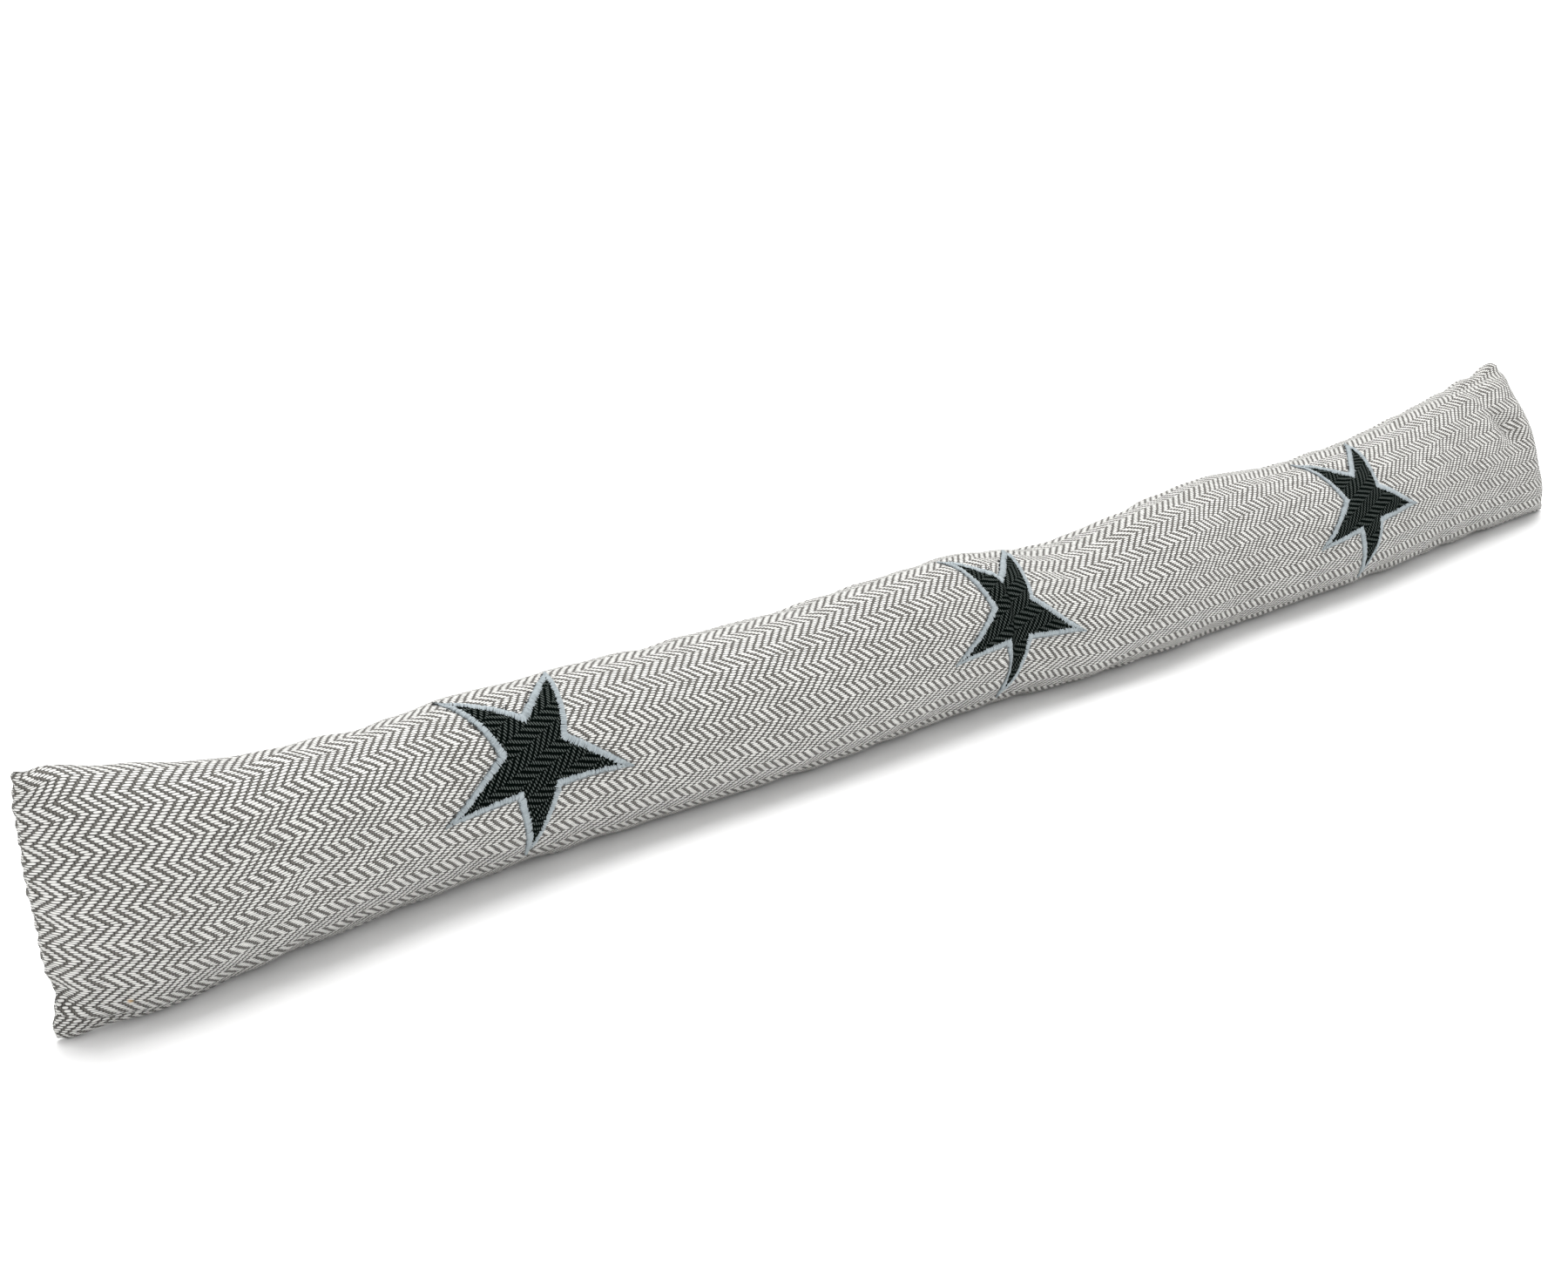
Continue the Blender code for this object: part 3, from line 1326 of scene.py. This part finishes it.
@dataclass(frozen=True)
class ThreadFinish:
    """An embroidery thread's colour and gloss.

    Attributes:
        name: the material's name
        light, dark: its lightest and darkest shades; the dark one also gives the painted
            shade
        roughness, sheen: how matt it is, and how much its fibres catch the light
        twists: how many twists of the ply show along a stitch
        by_chance, twist_shade, end_shade: how much a thread darkens by its chance, which
            is its
        own tone, and by painted shade in the hollows of its twist and where it dives into
        the cloth at its ends
        relief: how high the twist stands
    """

    name: str
    light: Triple
    dark: Triple
    roughness: float = 0.5
    sheen: float = 0.2
    twists: float = 9.0
    by_chance: float = 0.55
    twist_shade: float = 0.2
    end_shade: float = 0.35
    relief: float = 0.05 * MM

    def build(self) -> Material:
        """Makes the material, which reads each stitch's chance and place from its map."""
        made, tree, sockets = start_material(
            self.name,
            {
                "Roughness": self.roughness,
                "Sheen Weight": self.sheen,
                "Specular IOR Level": 0.4,
            },
        )
        chance, down = tree.apart(tree.uv(CLOTH_MAP))
        twist = (down * (TAU * self.twists) + chance * 40.0).math("SINE") * 0.5 + 0.5
        ends = (down * 2.0 - 1.0).math("ABSOLUTE").math("POWER", 6.0)
        # painted shade: the thread darkens in the hollows of its twist and at its ends,
        # where it dives into the cloth; its chance is its own tone
        share = chance * self.by_chance + twist * self.twist_shade + ends * self.end_shade
        colour = tree.blend(share.capped(), self.light, self.dark)
        tree.wire(colour, sockets["Base Color"])
        tree.wire(tree.bump(twist, self.relief), sockets["Normal"])
        return made


# ---------------------------------------------------------------- the cover


@dataclass
class Cover:
    """The tube of herringbone cloth with its stuffing, sewn flat at both ends.

    Attributes:
        cloth: the cloth that it is made of
        rows, columns: the mesh's grid, along and round the tube
        roll: how far the cloth rolls past the seam line at an end
        groove: how deep the seam lies between the two rolls
        least_roll: the share of the roll that is left where the end is thin
        inner: how many rings in the tube's own direction is read from
        profile: the roll's rows, as shares of the ring's thickness and of the roll
        run: how much further the cloth has run by each row and by the seam
        drift: how far up the front the stripes have crept, in millimetres, by how far
            along the cloth it is
    """

    cloth: Cloth
    rows: int = 600
    columns: int = 144
    roll: float = 1.6 * MM
    groove: float = 0.5 * MM
    least_roll: float = 0.2
    inner: int = 9
    profile: tuple[tuple[float, float], ...] = ((0.93, 0.38), (0.74, 0.75), (0.45, 0.98))
    run: tuple[float, ...] = (0.6 * MM, 1.3 * MM, 2.0 * MM, 2.7 * MM)
    drift: tuple[tuple[float, float], ...] = (
        (0.000, -16.0),
        (0.015, -11.5),
        (0.030, -9.5),
        (0.062, -7.5),
        (0.090, -2.5),
        (0.125, 0.0),
        (0.175, -1.5),
        (0.220, 0.0),
        (0.340, -0.5),
        (0.420, -3.0),
        (0.460, -1.0),
        (0.600, -4.0),
        (0.700, 2.0),
        (0.790, 2.0),
        (0.895, 0.5),
    )

    def build(self) -> Piece:
        """Makes the mesh, with the cloth's two maps."""
        along, across = self.cloth.form.grid(self.rows, self.columns)
        body = self.cloth.place(along, across)
        left, right = self._closing(body), self._closing(body[::-1])
        points = np.concatenate([left[::-1], body, right])
        run = np.array(self.run)
        steps = np.concatenate([-run[::-1], along[:, 0], self.cloth.length + run])
        made = closed_grid("cover_cloth", points)
        self._write_maps(made.data, steps)
        sew(made, 0.01 * MM)
        bpy.ops.object.shade_smooth()
        return made

    def _closing(self, body: Array) -> Array:
        """The rows that roll the cloth over an end and down into its seam.

        Args:
            body: the tube's rings, from this end inwards

        Returns:
            The rows, outwards from the end.
        """
        ring, inner = body[0], body[self.inner]
        across_it = (2 * int(ring[:, 2].argmin()) - np.arange(len(ring))) % len(ring)
        middle = (ring + ring[across_it]) / 2
        outward = ring.mean(0) - inner.mean(0)
        thick = np.linalg.norm(ring - middle, axis=1, keepdims=True)
        full = between(self.least_roll, 1.0, np.minimum(thick / MM, 1))
        outward = outward / np.linalg.norm(outward) * full
        profile = (*self.profile, (0.0, 1 - self.groove / self.roll))
        return np.stack(
            [
                middle + (ring - middle) * width + outward * self.roll * reach
                for width, reach in profile
            ]
        )

    def _write_maps(self, mesh: Mesh, steps: Array) -> None:
        """Writes the cloth map in metres, and the map that fills a square.

        Args:
            mesh: the cover's mesh
            steps: how far along the cloth each row is
        """
        vertex = corner_vertices(mesh)
        row, column = vertex % len(steps), vertex // len(steps)
        across = column / self.columns
        crept = np.interp(steps[row], *np.array(self.drift).T) * MM
        cloth = np.stack([steps[row], across * self.cloth.girth - crept], 1)
        set_map(mesh, CLOTH_MAP, cloth)
        share = row / (len(steps) - 1)
        set_map(mesh, BAKE_MAP, 0.002 + 0.996 * np.stack([share, across], 1))

    @staticmethod
    def dress(made: Piece, finish: Material) -> None:
        """Gives the cover its finish, and hides the CAD cover that it replaces."""
        dress_piece(made, finish, "cover")


# ---------------------------------------------------------------- the stars


@dataclass
class StarPatch:
    """A star of dark cloth, laid on the cover. Its edge runs on under the stitching.

    Attributes:
        star: where it lies
        cloth: the cover's cloth
        tip, notch: the radii of its outline
        cuts: how finely each of its ten triangles is cut
        clearance: how far above the cover its underside lies
        thickness: the dark cloth's thickness
        crease: the angle from which an edge of it stays sharp, in degrees
    """

    star: Star
    cloth: Cloth
    tip: float = 38.9 * MM
    notch: float = 14.3 * MM
    cuts: int = 22
    clearance: float = 0.2 * MM
    thickness: float = 0.55 * MM
    crease: float = 50.0

    def build(self) -> Piece:
        """Makes the sheet: a fan of triangles, cut fine, laid on the cover."""
        corners = self.star.outline(self.tip, self.notch)
        bpy.ops.mesh.primitive_circle_add(
            vertices=len(corners), radius=self.tip, fill_type="TRIFAN"
        )
        made = name_piece(bpy.context.active_object, f"star_cloth_{self.star.number}")
        self._shape_outline(made.data, corners)
        with editing(made):
            bpy.ops.mesh.subdivide(number_cuts=self.cuts)
        flat = points_of(made.data)[:, :2]
        vertex = corner_vertices(made.data)
        cloth_place = flat + (self.star.along, self.star.across)
        set_map(made.data, CLOTH_MAP, cloth_place[vertex])
        set_map(made.data, BAKE_MAP, 0.5 + flat[vertex] / (2.05 * self.tip))
        lift = self.clearance + self.thickness
        laid = self.cloth.place(cloth_place[:, 0], cloth_place[:, 1], lift)
        set_points(made.data, laid)
        self._thicken(made)
        return made

    @staticmethod
    def _shape_outline(mesh: Mesh, corners: Array) -> None:
        """Moves the circle's rim to the star's corners, each to its own.

        Args:
            mesh: the disc's mesh
            corners: the star's outline
        """
        points = points_of(mesh)
        rim = np.hypot(points[:, 0], points[:, 1]) > 1e-6
        turn = np.arctan2(points[rim, 1], points[rim, 0]) % TAU
        order = np.argsort(np.argsort(turn))
        wanted = np.arctan2(corners[:, 1], corners[:, 0]) % TAU
        points[rim, :2] = corners[np.argsort(wanted)][order]
        set_points(mesh, points)

    def _thicken(self, made: Piece) -> None:
        """Gives the sheet its thickness, towards the cover."""
        solidify = made.modifiers.new("thickness", "SOLIDIFY")
        solidify.thickness = self.thickness
        solidify.offset = -1
        select_only(made)
        bpy.ops.object.modifier_apply(modifier=solidify.name)
        bpy.ops.object.shade_smooth_by_angle(angle=math.radians(self.crease))

    def dress(self, made: Piece, finish: Material, sewn_on: list[Piece]) -> None:
        """Gives the patch its finish, and hides the CAD patch that it replaces.

        Args:
            made: the patch
            finish: its material
            sewn_on: the stitching and the frayed yarns that go with it; not used
        """
        dress_piece(made, finish, f"star_patch_{self.star.number}")
        corners = self.star.outline(self.tip, self.notch)
        area = Star.POINTS * self.tip * self.notch * math.sin(math.pi / Star.POINTS)


@dataclass
class Strand:
    """One short thread, modelled once and copied many times.

    Attributes:
        sides: how many sides its round has
        rings: how many rings of points it has along its length
        slimming: how much slimmer it is at its very ends
        ahead: the share of its length over which its direction is read
        lean: a direction that its side is square to
        map_turns: how many steps round it the map for a picture has
    """

    sides: int = 6
    rings: int = 7
    slimming: float = 0.45
    ahead: float = 0.01
    lean: Triple = (0.0, -0.35, 1.0)
    map_turns: int = 6

    def make(
        self, name: str, route: Callable[[float], Array], width: Array, chance: Array
    ) -> Piece:
        """Makes a copy for every thread, and bends each along its own route.

        Args:
            name: the object's name
            route: gives each thread's point at a share of its length, threads by 3
            width: each thread's radius
            chance: a number from 0 to 1 for each thread

        Returns:
            The object.
        """
        made = self._copies(name, len(width))
        down = self._lay(made, route, width)
        self._write_maps(made.data, down, chance)
        return made

    def _copies(self, name: str, copies: int) -> Piece:
        """Makes one mesh of many copies, all in the same place.

        The thread is a disc that is extruded ring by ring. Its points have x and y
        across the thread, out to 1, and z from 0 to 1 along it.

        Args:
            name: the object's name
            copies: how many threads

        Returns:
            The object.
        """
        bpy.ops.mesh.primitive_circle_add(
            vertices=self.sides, radius=1, fill_type="NGON"
        )
        made = name_piece(bpy.context.active_object, name)
        step = (0, 0, 1 / (self.rings - 1))
        with editing(made):
            for _ in range(self.rings - 1):
                bpy.ops.mesh.extrude_region_move(
                    TRANSFORM_OT_translate={"value": step, "orient_type": "GLOBAL"}
                )
            bpy.ops.mesh.select_all(action="SELECT")
            bpy.ops.mesh.normals_make_consistent(inside=False)
        array = made.modifiers.new("copies", "ARRAY")
        array.count = copies
        array.relative_offset_displace = (0, 0, 0)
        bpy.ops.object.modifier_apply(modifier=array.name)
        bpy.ops.object.shade_smooth()
        return made

    def _lay(self, made: Piece, route: Callable[[float], Array], width: Array) -> Array:
        """Bends every copy along its own route.

        Args:
            made: the object of all the copies
            route: gives each copy's point at a share of its length, copies by 3
            width: each copy's radius

        Returns:
            How far along its thread each point is, copies by points.
        """
        copies = len(width)
        model = points_of(made.data).reshape(copies, -1, 3)
        down = model[0, :, 2]
        laid = np.empty_like(model)
        for share in np.unique(down):
            here = down == share
            ahead = route(min(share + self.ahead, 1)) - route(max(share - self.ahead, 0))
            ahead /= np.linalg.norm(ahead, axis=1, keepdims=True)
            side = np.cross(ahead, self.lean)
            side /= np.linalg.norm(side, axis=1, keepdims=True)
            up = np.cross(side, ahead)
            taper = width * (1 - self.slimming * abs(2 * float(share) - 1) ** 5)
            across = model[:, here, 0, None] * taper[:, None, None]
            high = model[:, here, 1, None] * taper[:, None, None]
            laid[:, here] = route(share)[:, None] + across * side[:, None]
            laid[:, here] += high * up[:, None]
        set_points(made.data, laid.reshape(-1, 3))
        return np.broadcast_to(down, (copies, len(down)))

    def _write_maps(self, mesh: Mesh, down: Array, chance: Array) -> None:
        """Writes each copy's chance and place down the thread, and a map for a picture.

        Args:
            mesh: the mesh of all the copies
            down: how far along its thread each point is, copies by points
            chance: a number from 0 to 1 for each copy
        """
        copies, count = down.shape
        vertex = corner_vertices(mesh)
        copy, point = vertex // count, vertex % count
        place = np.stack([chance[copy], down[copy, point]], 1)
        set_map(mesh, CLOTH_MAP, place)
        side = math.ceil(math.sqrt(copies))
        cell = np.stack([copy % side, copy // side], 1)
        turn = point % self.map_turns / self.map_turns
        inside = np.stack([0.1 + 0.8 * turn, 0.05 + 0.9 * down[copy, point]], 1)
        set_map(mesh, BAKE_MAP, (cell + inside) / side)


@dataclass
class SatinBorder:
    """The satin stitch round a star: threads side by side from its outer line inwards.

    Attributes:
        star: where it lies
        cloth: the cover's cloth
        outer_tip, outer_notch: the radii of the outer line
        inner_tip, inner_notch: the radii of the inner line
        pitch: the spacing of the threads
        start: how far from a tip the first thread lies
        radius: a thread's radius
        crown: how high the threads stand in the middle
        clearance: how far above the cloth their ends lie
        ragged: how much longer or shorter a thread may be
        wander: how far sideways its inner end may stray
        full: the length from which a thread stands at its full height
        strand: the thread
    """

    star: Star
    cloth: Cloth
    outer_tip: float = 44.5 * MM
    outer_notch: float = 16.9 * MM
    inner_tip: float = 36.5 * MM
    inner_notch: float = 12.7 * MM
    pitch: float = 0.37 * MM
    start: float = 0.3 * MM
    radius: float = 0.25 * MM
    crown: float = 0.85 * MM
    clearance: float = 0.05 * MM
    ragged: float = 0.45 * MM
    wander: float = 0.15 * MM
    full: float = 2.4 * MM
    strand: Strand = field(default_factory=Strand)

    def build(self) -> Piece:
        """Makes the stitching of one star."""
        outside, inside = self._ends()
        draw = np.random.default_rng(30 + self.star.number)
        copies = len(outside)
        way = inside - outside
        long = np.linalg.norm(way, axis=1, keepdims=True)
        way /= np.maximum(long, 1e-9)
        outside -= way * draw.normal(0, 0.3, (copies, 1)) * self.ragged
        inside += way * draw.normal(0.1, 0.6, (copies, 1)) * self.ragged
        inside += draw.normal(0, self.wander, (copies, 2))
        crown = self.crown * np.clip(long[:, 0] / self.full, 0.5, 1)
        crown = crown * draw.uniform(0.85, 1.12, copies)

        def route(share: float) -> Array:
            """The threads' points at this share of their length."""
            place = between(outside, inside, share)
            place = place + (self.star.along, self.star.across)
            arch = 1 - abs(2 * float(share) - 1) ** 3.5
            return self.cloth.place(*place.T, self.clearance + crown * arch)

        return self.strand.make(
            f"star_stitching_{self.star.number}",
            route,
            width=self.radius * draw.uniform(0.85, 1.15, copies),
            chance=draw.uniform(0, 1, copies),
        )

    def _ends(self) -> tuple[Array, Array]:
        """Where each thread starts on the outer line and ends on the inner one.

        Along an edge the threads lie square to it. Near a tip they end where the two
        edges' threads meet, and at a notch they fan round the outer corner.

        Returns:
            The outer and the inner ends, threads by 2.
        """
        outer = self.star.outline(self.outer_tip, self.outer_notch)
        inner = self.star.outline(self.inner_tip, self.inner_notch)
        outside, inside = [], []
        for tip in range(0, len(outer), 2):
            for way in (-1, 1):
                notch = (tip + way) % len(outer)
                a, b = self._edge(outer[tip], outer[notch], inner[tip], inner[notch])
                outside.append(a if way > 0 else a[::-1])
                inside.append(b if way > 0 else b[::-1])
        return np.concatenate(outside), np.concatenate(inside)

    def _edge(
        self, tip: Array, notch: Array, inner_tip: Array, inner_notch: Array
    ) -> tuple[Array, Array]:
        """The threads' ends along one edge, from its tip to its notch.

        Args:
            tip, notch: the edge's ends on the outer line
            inner_tip, inner_notch: the same ends on the inner line

        Returns:
            The outer and the inner ends, threads by 2.
        """
        long = np.linalg.norm(notch - tip)
        ahead = (notch - tip) / long
        inward = np.array([-ahead[1], ahead[0]])
        if inward @ (inner_tip - tip) < 0:
            inward = -inward
        first, last = (inner_tip - tip) @ ahead, (inner_notch - tip) @ ahead
        near, deep = (inner_tip - tip) @ inward, (inner_notch - tip) @ inward
        place = np.arange(self.start, last, self.pitch)
        line = np.interp(place, [0, first, last], [0, near, deep])
        outside = tip + np.outer(np.minimum(place, long), ahead)
        inside = tip + np.outer(place, ahead) + np.outer(line, inward)
        return outside, inside

    def dress(self, made: Piece, finish: Material) -> None:
        """Gives the stitching its finish, and hides the CAD border that it replaces."""
        dress_piece(made, finish, f"star_border_{self.star.number}")


@dataclass
class Frays:
    """Black yarns of the star's cut edge that poke out from under the stitching.

    Attributes:
        star: where it lies
        cloth: the cover's cloth
        edges: which edges they poke out of, counted from the first point
        count: how many there are along those edges
        tuft: how many more there are at the point between the middle two edges
        tip, notch: the radii of the line that they start on
        longest: the longest one
        radius: a yarn's radius
        hidden: how far inside that line each one starts
        clearance: how far above the cloth it lies
        strand: the yarn
    """

    star: Star
    cloth: Cloth
    edges: tuple[int, ...] = (2, 3, 4, 5)
    count: int = 48
    tuft: int = 0
    tip: float = 44.4 * MM
    notch: float = 16.9 * MM
    longest: float = 1.7 * MM
    radius: float = 0.24 * MM
    hidden: float = 0.5 * MM
    clearance: float = 0.35 * MM
    strand: Strand = field(default_factory=lambda: Strand(sides=5, rings=5))

    def build(self) -> Piece:
        """Makes the frayed yarns of one star."""
        draw = np.random.default_rng(70 + self.star.number)
        corners = self.star.outline(self.tip, self.notch)
        count = self.count + self.tuft
        edge = draw.choice(self.edges, count)
        share = draw.uniform(0.05, 0.95, (count, 1))
        tufted = np.arange(self.count, count)
        edge[tufted] = np.array(self.edges[1:3])[tufted % 2]
        share[tufted, 0] = draw.uniform(0, 0.04, self.tuft) + (tufted + 1) % 2 * 0.96
        ahead = corners[(edge + 1) % len(corners)] - corners[edge]
        start = corners[edge] + ahead * share
        outward = np.stack([ahead[:, 1], -ahead[:, 0]], 1)
        outward /= np.linalg.norm(outward, axis=1, keepdims=True)
        way = outward + draw.normal(0, 0.45, (count, 2))
        long = draw.uniform(0.35, 1, (count, 1)) * self.longest
        start = start + (self.star.along, self.star.across)
        rise = draw.uniform(0, 0.25, count) * long[:, 0]

        def route(share: float) -> Array:
            """The yarns' points at this share of their length."""
            place = start + way * (long * float(share) - self.hidden)
            return self.cloth.place(*place.T, self.clearance + rise * float(share))

        return self.strand.make(
            f"star_frays_{self.star.number}",
            route,
            width=self.radius * draw.uniform(0.7, 1.3, count),
            chance=draw.uniform(0, 1, count),
        )

    @staticmethod
    def dress(made: Piece, finish: Material) -> None:
        """Gives the frayed yarns their finish."""
        dress_piece(made, finish)


# ---------------------------------------------------------------- the studio


@dataclass
class Studio:
    """The pale floor, the soft lights and the camera.

    Attributes:
        target: the point that the camera looks at
        azimuth, elevation: where the camera stands, in degrees
        distance: how far the camera is from its target
        lens, sensor: the lens's focal length and the sensor's width, in millimetres
        floor_size, floor_shade: the side of the floor, and how pale it is
        sky: how bright the even white sky is
        daylight_from, daylight: where the daylight comes from, and its strength
        daylight_spread: how wide a part of the sky it comes from, in degrees
        boxes: the soft boxes' names, places, sizes and powers in watts
    """

    target: Triple = (-0.1196, -0.0007, 0.0553)
    azimuth: float = -43.98
    elevation: float = 18.85
    distance: float = 0.9636
    lens: float = 56.0
    sensor: float = 36.0
    floor_size: float = 40.0
    floor_shade: float = 0.93
    sky: float = 0.80
    daylight_from: Triple = (0.40, 0.35, 1.0)
    daylight: float = 2.0
    daylight_spread: float = 70.0
    boxes: tuple[tuple[str, tuple[float, ...], tuple[float, ...], float], ...] = (
        ("top_softbox", (0.0, 0.3, 2.3), (2.0, 1.6), 36),
        ("front_fill", (-1.2, -2.2, 1.2), (1.8, 1.4), 11),
    )

    def build(self) -> None:
        """Makes them all."""
        self._floor()
        self._world()
        self._sun()
        for box in self.boxes:
            self._softbox(*box)
        self._camera()
        view = bpy.context.scene.view_settings
        view.view_transform = "Standard"
        view.look = "None"

    def _floor(self) -> None:
        """A plain pale floor."""
        bpy.ops.mesh.primitive_plane_add(size=self.floor_size)
        floor = name_piece(bpy.context.active_object, "studio_floor")
        shade = self.floor_shade
        looks = {"Base Color": (shade, shade, shade, 1)}
        looks |= {"Roughness": 0.6, "Specular IOR Level": 0.2}
        finish, _, _ = start_material("studio_floor", looks)
        floor.data.materials.append(finish)

    def _world(self) -> None:
        """An even white sky."""
        world = bpy.data.worlds.new("studio")
        world.use_nodes = True
        sky = world.node_tree.nodes["Background"]
        sky.inputs["Color"].default_value = (1, 1, 1, 1)
        sky.inputs["Strength"].default_value = self.sky
        bpy.context.scene.world = world

    def _sun(self) -> None:
        """Wide, soft daylight over the whole floor."""
        lamp = self._lamp("daylight", "SUN", self.daylight_from, self.daylight)
        lamp.angle = math.radians(self.daylight_spread)

    def _softbox(
        self, name: str, place: tuple[float, ...], size: tuple[float, ...], power: float
    ) -> None:
        """A soft box of this width and height, which faces the middle of the tube.

        Args:
            name: the lamp's name
            place: where it stands
            size: its width and height
            power: its power in watts
        """
        lamp = self._lamp(name, "AREA", place, power)
        lamp.shape = "RECTANGLE"
        lamp.size, lamp.size_y = size

    @staticmethod
    def _lamp(
        name: str, kind: str, place: tuple[float, ...], energy: float
    ) -> bpy.types.Light:
        """Adds a lamp that faces the middle of the tube.

        Args:
            name: the lamp's name
            kind: its kind, as the light operator names it
            place: where it stands
            energy: its strength

        Returns:
            The lamp's own data.
        """
        bpy.ops.object.light_add(type=kind, location=place)
        lamp = bpy.context.active_object
        lamp.name = name
        lamp.data.energy = energy
        lamp.rotation_euler = facing(-Vector(place))
        return lamp.data

    def _camera(self) -> None:
        """The camera, from its place round the target."""
        turn, rise = math.radians(self.azimuth), math.radians(self.elevation)
        level = Vector((math.sin(turn), -math.cos(turn), 0)) * math.cos(rise)
        back = level + Vector((0, 0, math.sin(rise)))
        bpy.ops.object.camera_add(location=Vector(self.target) + back * self.distance)
        camera = bpy.context.active_object
        camera.rotation_euler = facing(-back)
        camera.data.lens = self.lens
        camera.data.sensor_width = self.sensor
        camera.data.clip_start = 0.01
        bpy.context.scene.camera = camera


# ---------------------------------------------------------------- the whole

COVER_CLOTH = ClothFinish(
    name="cover_cloth",
    floats=(0.87, 0.865, 0.835),
    ground=(0.150, 0.143, 0.128),
    # painted shade: the colour and the depth of the shade between the yarns and beside
    # the floats
    crevice_shade=(0.03, 0.028, 0.026),
    variation=0.2,
    depth=0.9,
    sheen=0.15,
    fleck=(22.5 * MM, 18 * MM),
)
STAR_CLOTH = ClothFinish(
    name="star_cloth",
    floats=(0.14, 0.163, 0.153),
    ground=(0.0015, 0.0030, 0.0025),
    # painted shade: the colour of the shade between the yarns and beside the floats
    crevice_shade=(0.001, 0.002, 0.0015),
    weave=(
        ("Yarn Pitch", 0.985 * MM),
        ("Crossing Pitch", 0.727 * MM),
        ("Stripe Yarns", 8.0),
        ("Reverse Along", 1.0),
        ("Float Length", 2.5),
        ("Float Width", 0.58),
        ("Float Edge", 6.0),
        ("Float Taper", 3.5),
        ("Float Slant", 0.09),
        ("Wander", 0.2 * MM),
    ),
    turn=111.0,
    variation=0.55,
    specular=0.0,
)
STITCH_THREAD = ThreadFinish(
    "star_thread", light=(0.40, 0.45, 0.47), dark=(0.21, 0.245, 0.27)
)
FRAY_YARN = ThreadFinish(
    "fray_yarn", light=(0.012, 0.014, 0.013), dark=(0.003, 0.004, 0.004), roughness=0.8
)

FOLDS = (
    Fold(0.480, 0.078, 0.012, 0.003, -20, 1.0 * MM),
    Fold(0.495, 0.084, 0.012, 0.003, 40, 0.8 * MM),
    Fold(0.464, 0.011, 0.004, 0.008, 0, 1.2 * MM),
    Fold(0.774, 0.011, 0.004, 0.008, 0, 1.2 * MM),
    Fold(0.848, 0.070, 0.018, 0.0065, -50, 4.5 * MM),
    Fold(0.838, 0.082, 0.018, 0.005, -38, -2.4 * MM),
    Fold(0.852, 0.098, 0.035, 0.003, -3, 2.4 * MM),
    Fold(0.850, 0.092, 0.035, 0.003, -3, -1.0 * MM),
)
PULLS = (
    Pull(Corner.LEFT_TOP, 0.0, -30 * MM, 55 * MM, (-4.0 * MM, 0, 0)),
    Pull(Corner.LEFT_TOP, 8 * MM, 0.0, 45 * MM, (0, 0, 2.8 * MM)),
    Pull(Corner.LEFT_TOP, 0.0, 0.0, 5 * MM, (0.5 * MM, 0, -1.5 * MM)),
    Pull(Corner.LEFT_BOTTOM, 0.0, 16 * MM, 6 * MM, (1.6 * MM, 0.6 * MM, 0)),
    Pull(Corner.LEFT_BOTTOM, 2 * MM, 4 * MM, 9 * MM, (-3.4 * MM, -3.2 * MM, 0)),
    Pull(Corner.RIGHT_TOP, 0.0, 0.0, 5 * MM, (-1.0 * MM, -1.5 * MM, -1.6 * MM)),
    Pull(Corner.RIGHT_TOP, 8 * MM, 0.0, 8 * MM, (0, -0.5 * MM, 2.4 * MM)),
    Pull(Corner.RIGHT_BOTTOM, 0.0, 0.0, 7 * MM, (1.2 * MM, -0.4 * MM, 0)),
)


def main() -> None:
    """Builds the excluder round its frame, piece by piece."""
    logging.basicConfig(level=logging.INFO, format="%(message)s")
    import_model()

    flat = FrameCover().read()
    LOG.info("cloth %.0f by %.0f mm", flat.length / MM, flat.girth / MM)
    stars = [Star.from_frame(number, flat) for number in (1, 2, 3)]
    for star in stars:
        LOG.info("%s", star)
    form = Puffing().run(flat)
    cloth = Cloth(form, Relief(stars, FOLDS), PULLS)

    cover = Cover(cloth)
    cover_piece = cover.build()
    cover.dress(cover_piece, COVER_CLOTH.build())
    LOG.info("cover: %d faces", len(cover_piece.data.polygons))

    star_finish, thread = STAR_CLOTH.build(), STITCH_THREAD.build()
    fray_finish = FRAY_YARN.build()
    for star in stars:
        border = SatinBorder(star, cloth)
        frays = Frays(star, cloth, tuft=18 if star.number == 1 else 0)
        stitching, yarns = border.build(), frays.build()
        border.dress(stitching, thread)
        frays.dress(yarns, fray_finish)
        patch = StarPatch(star, cloth)
        patch_piece = patch.build()
        patch.dress(patch_piece, star_finish, [stitching, yarns])
        LOG.info("star %d: %d faces", star.number, len(stitching.data.polygons))

    Studio().build()


if __name__ == "__main__":
    main()
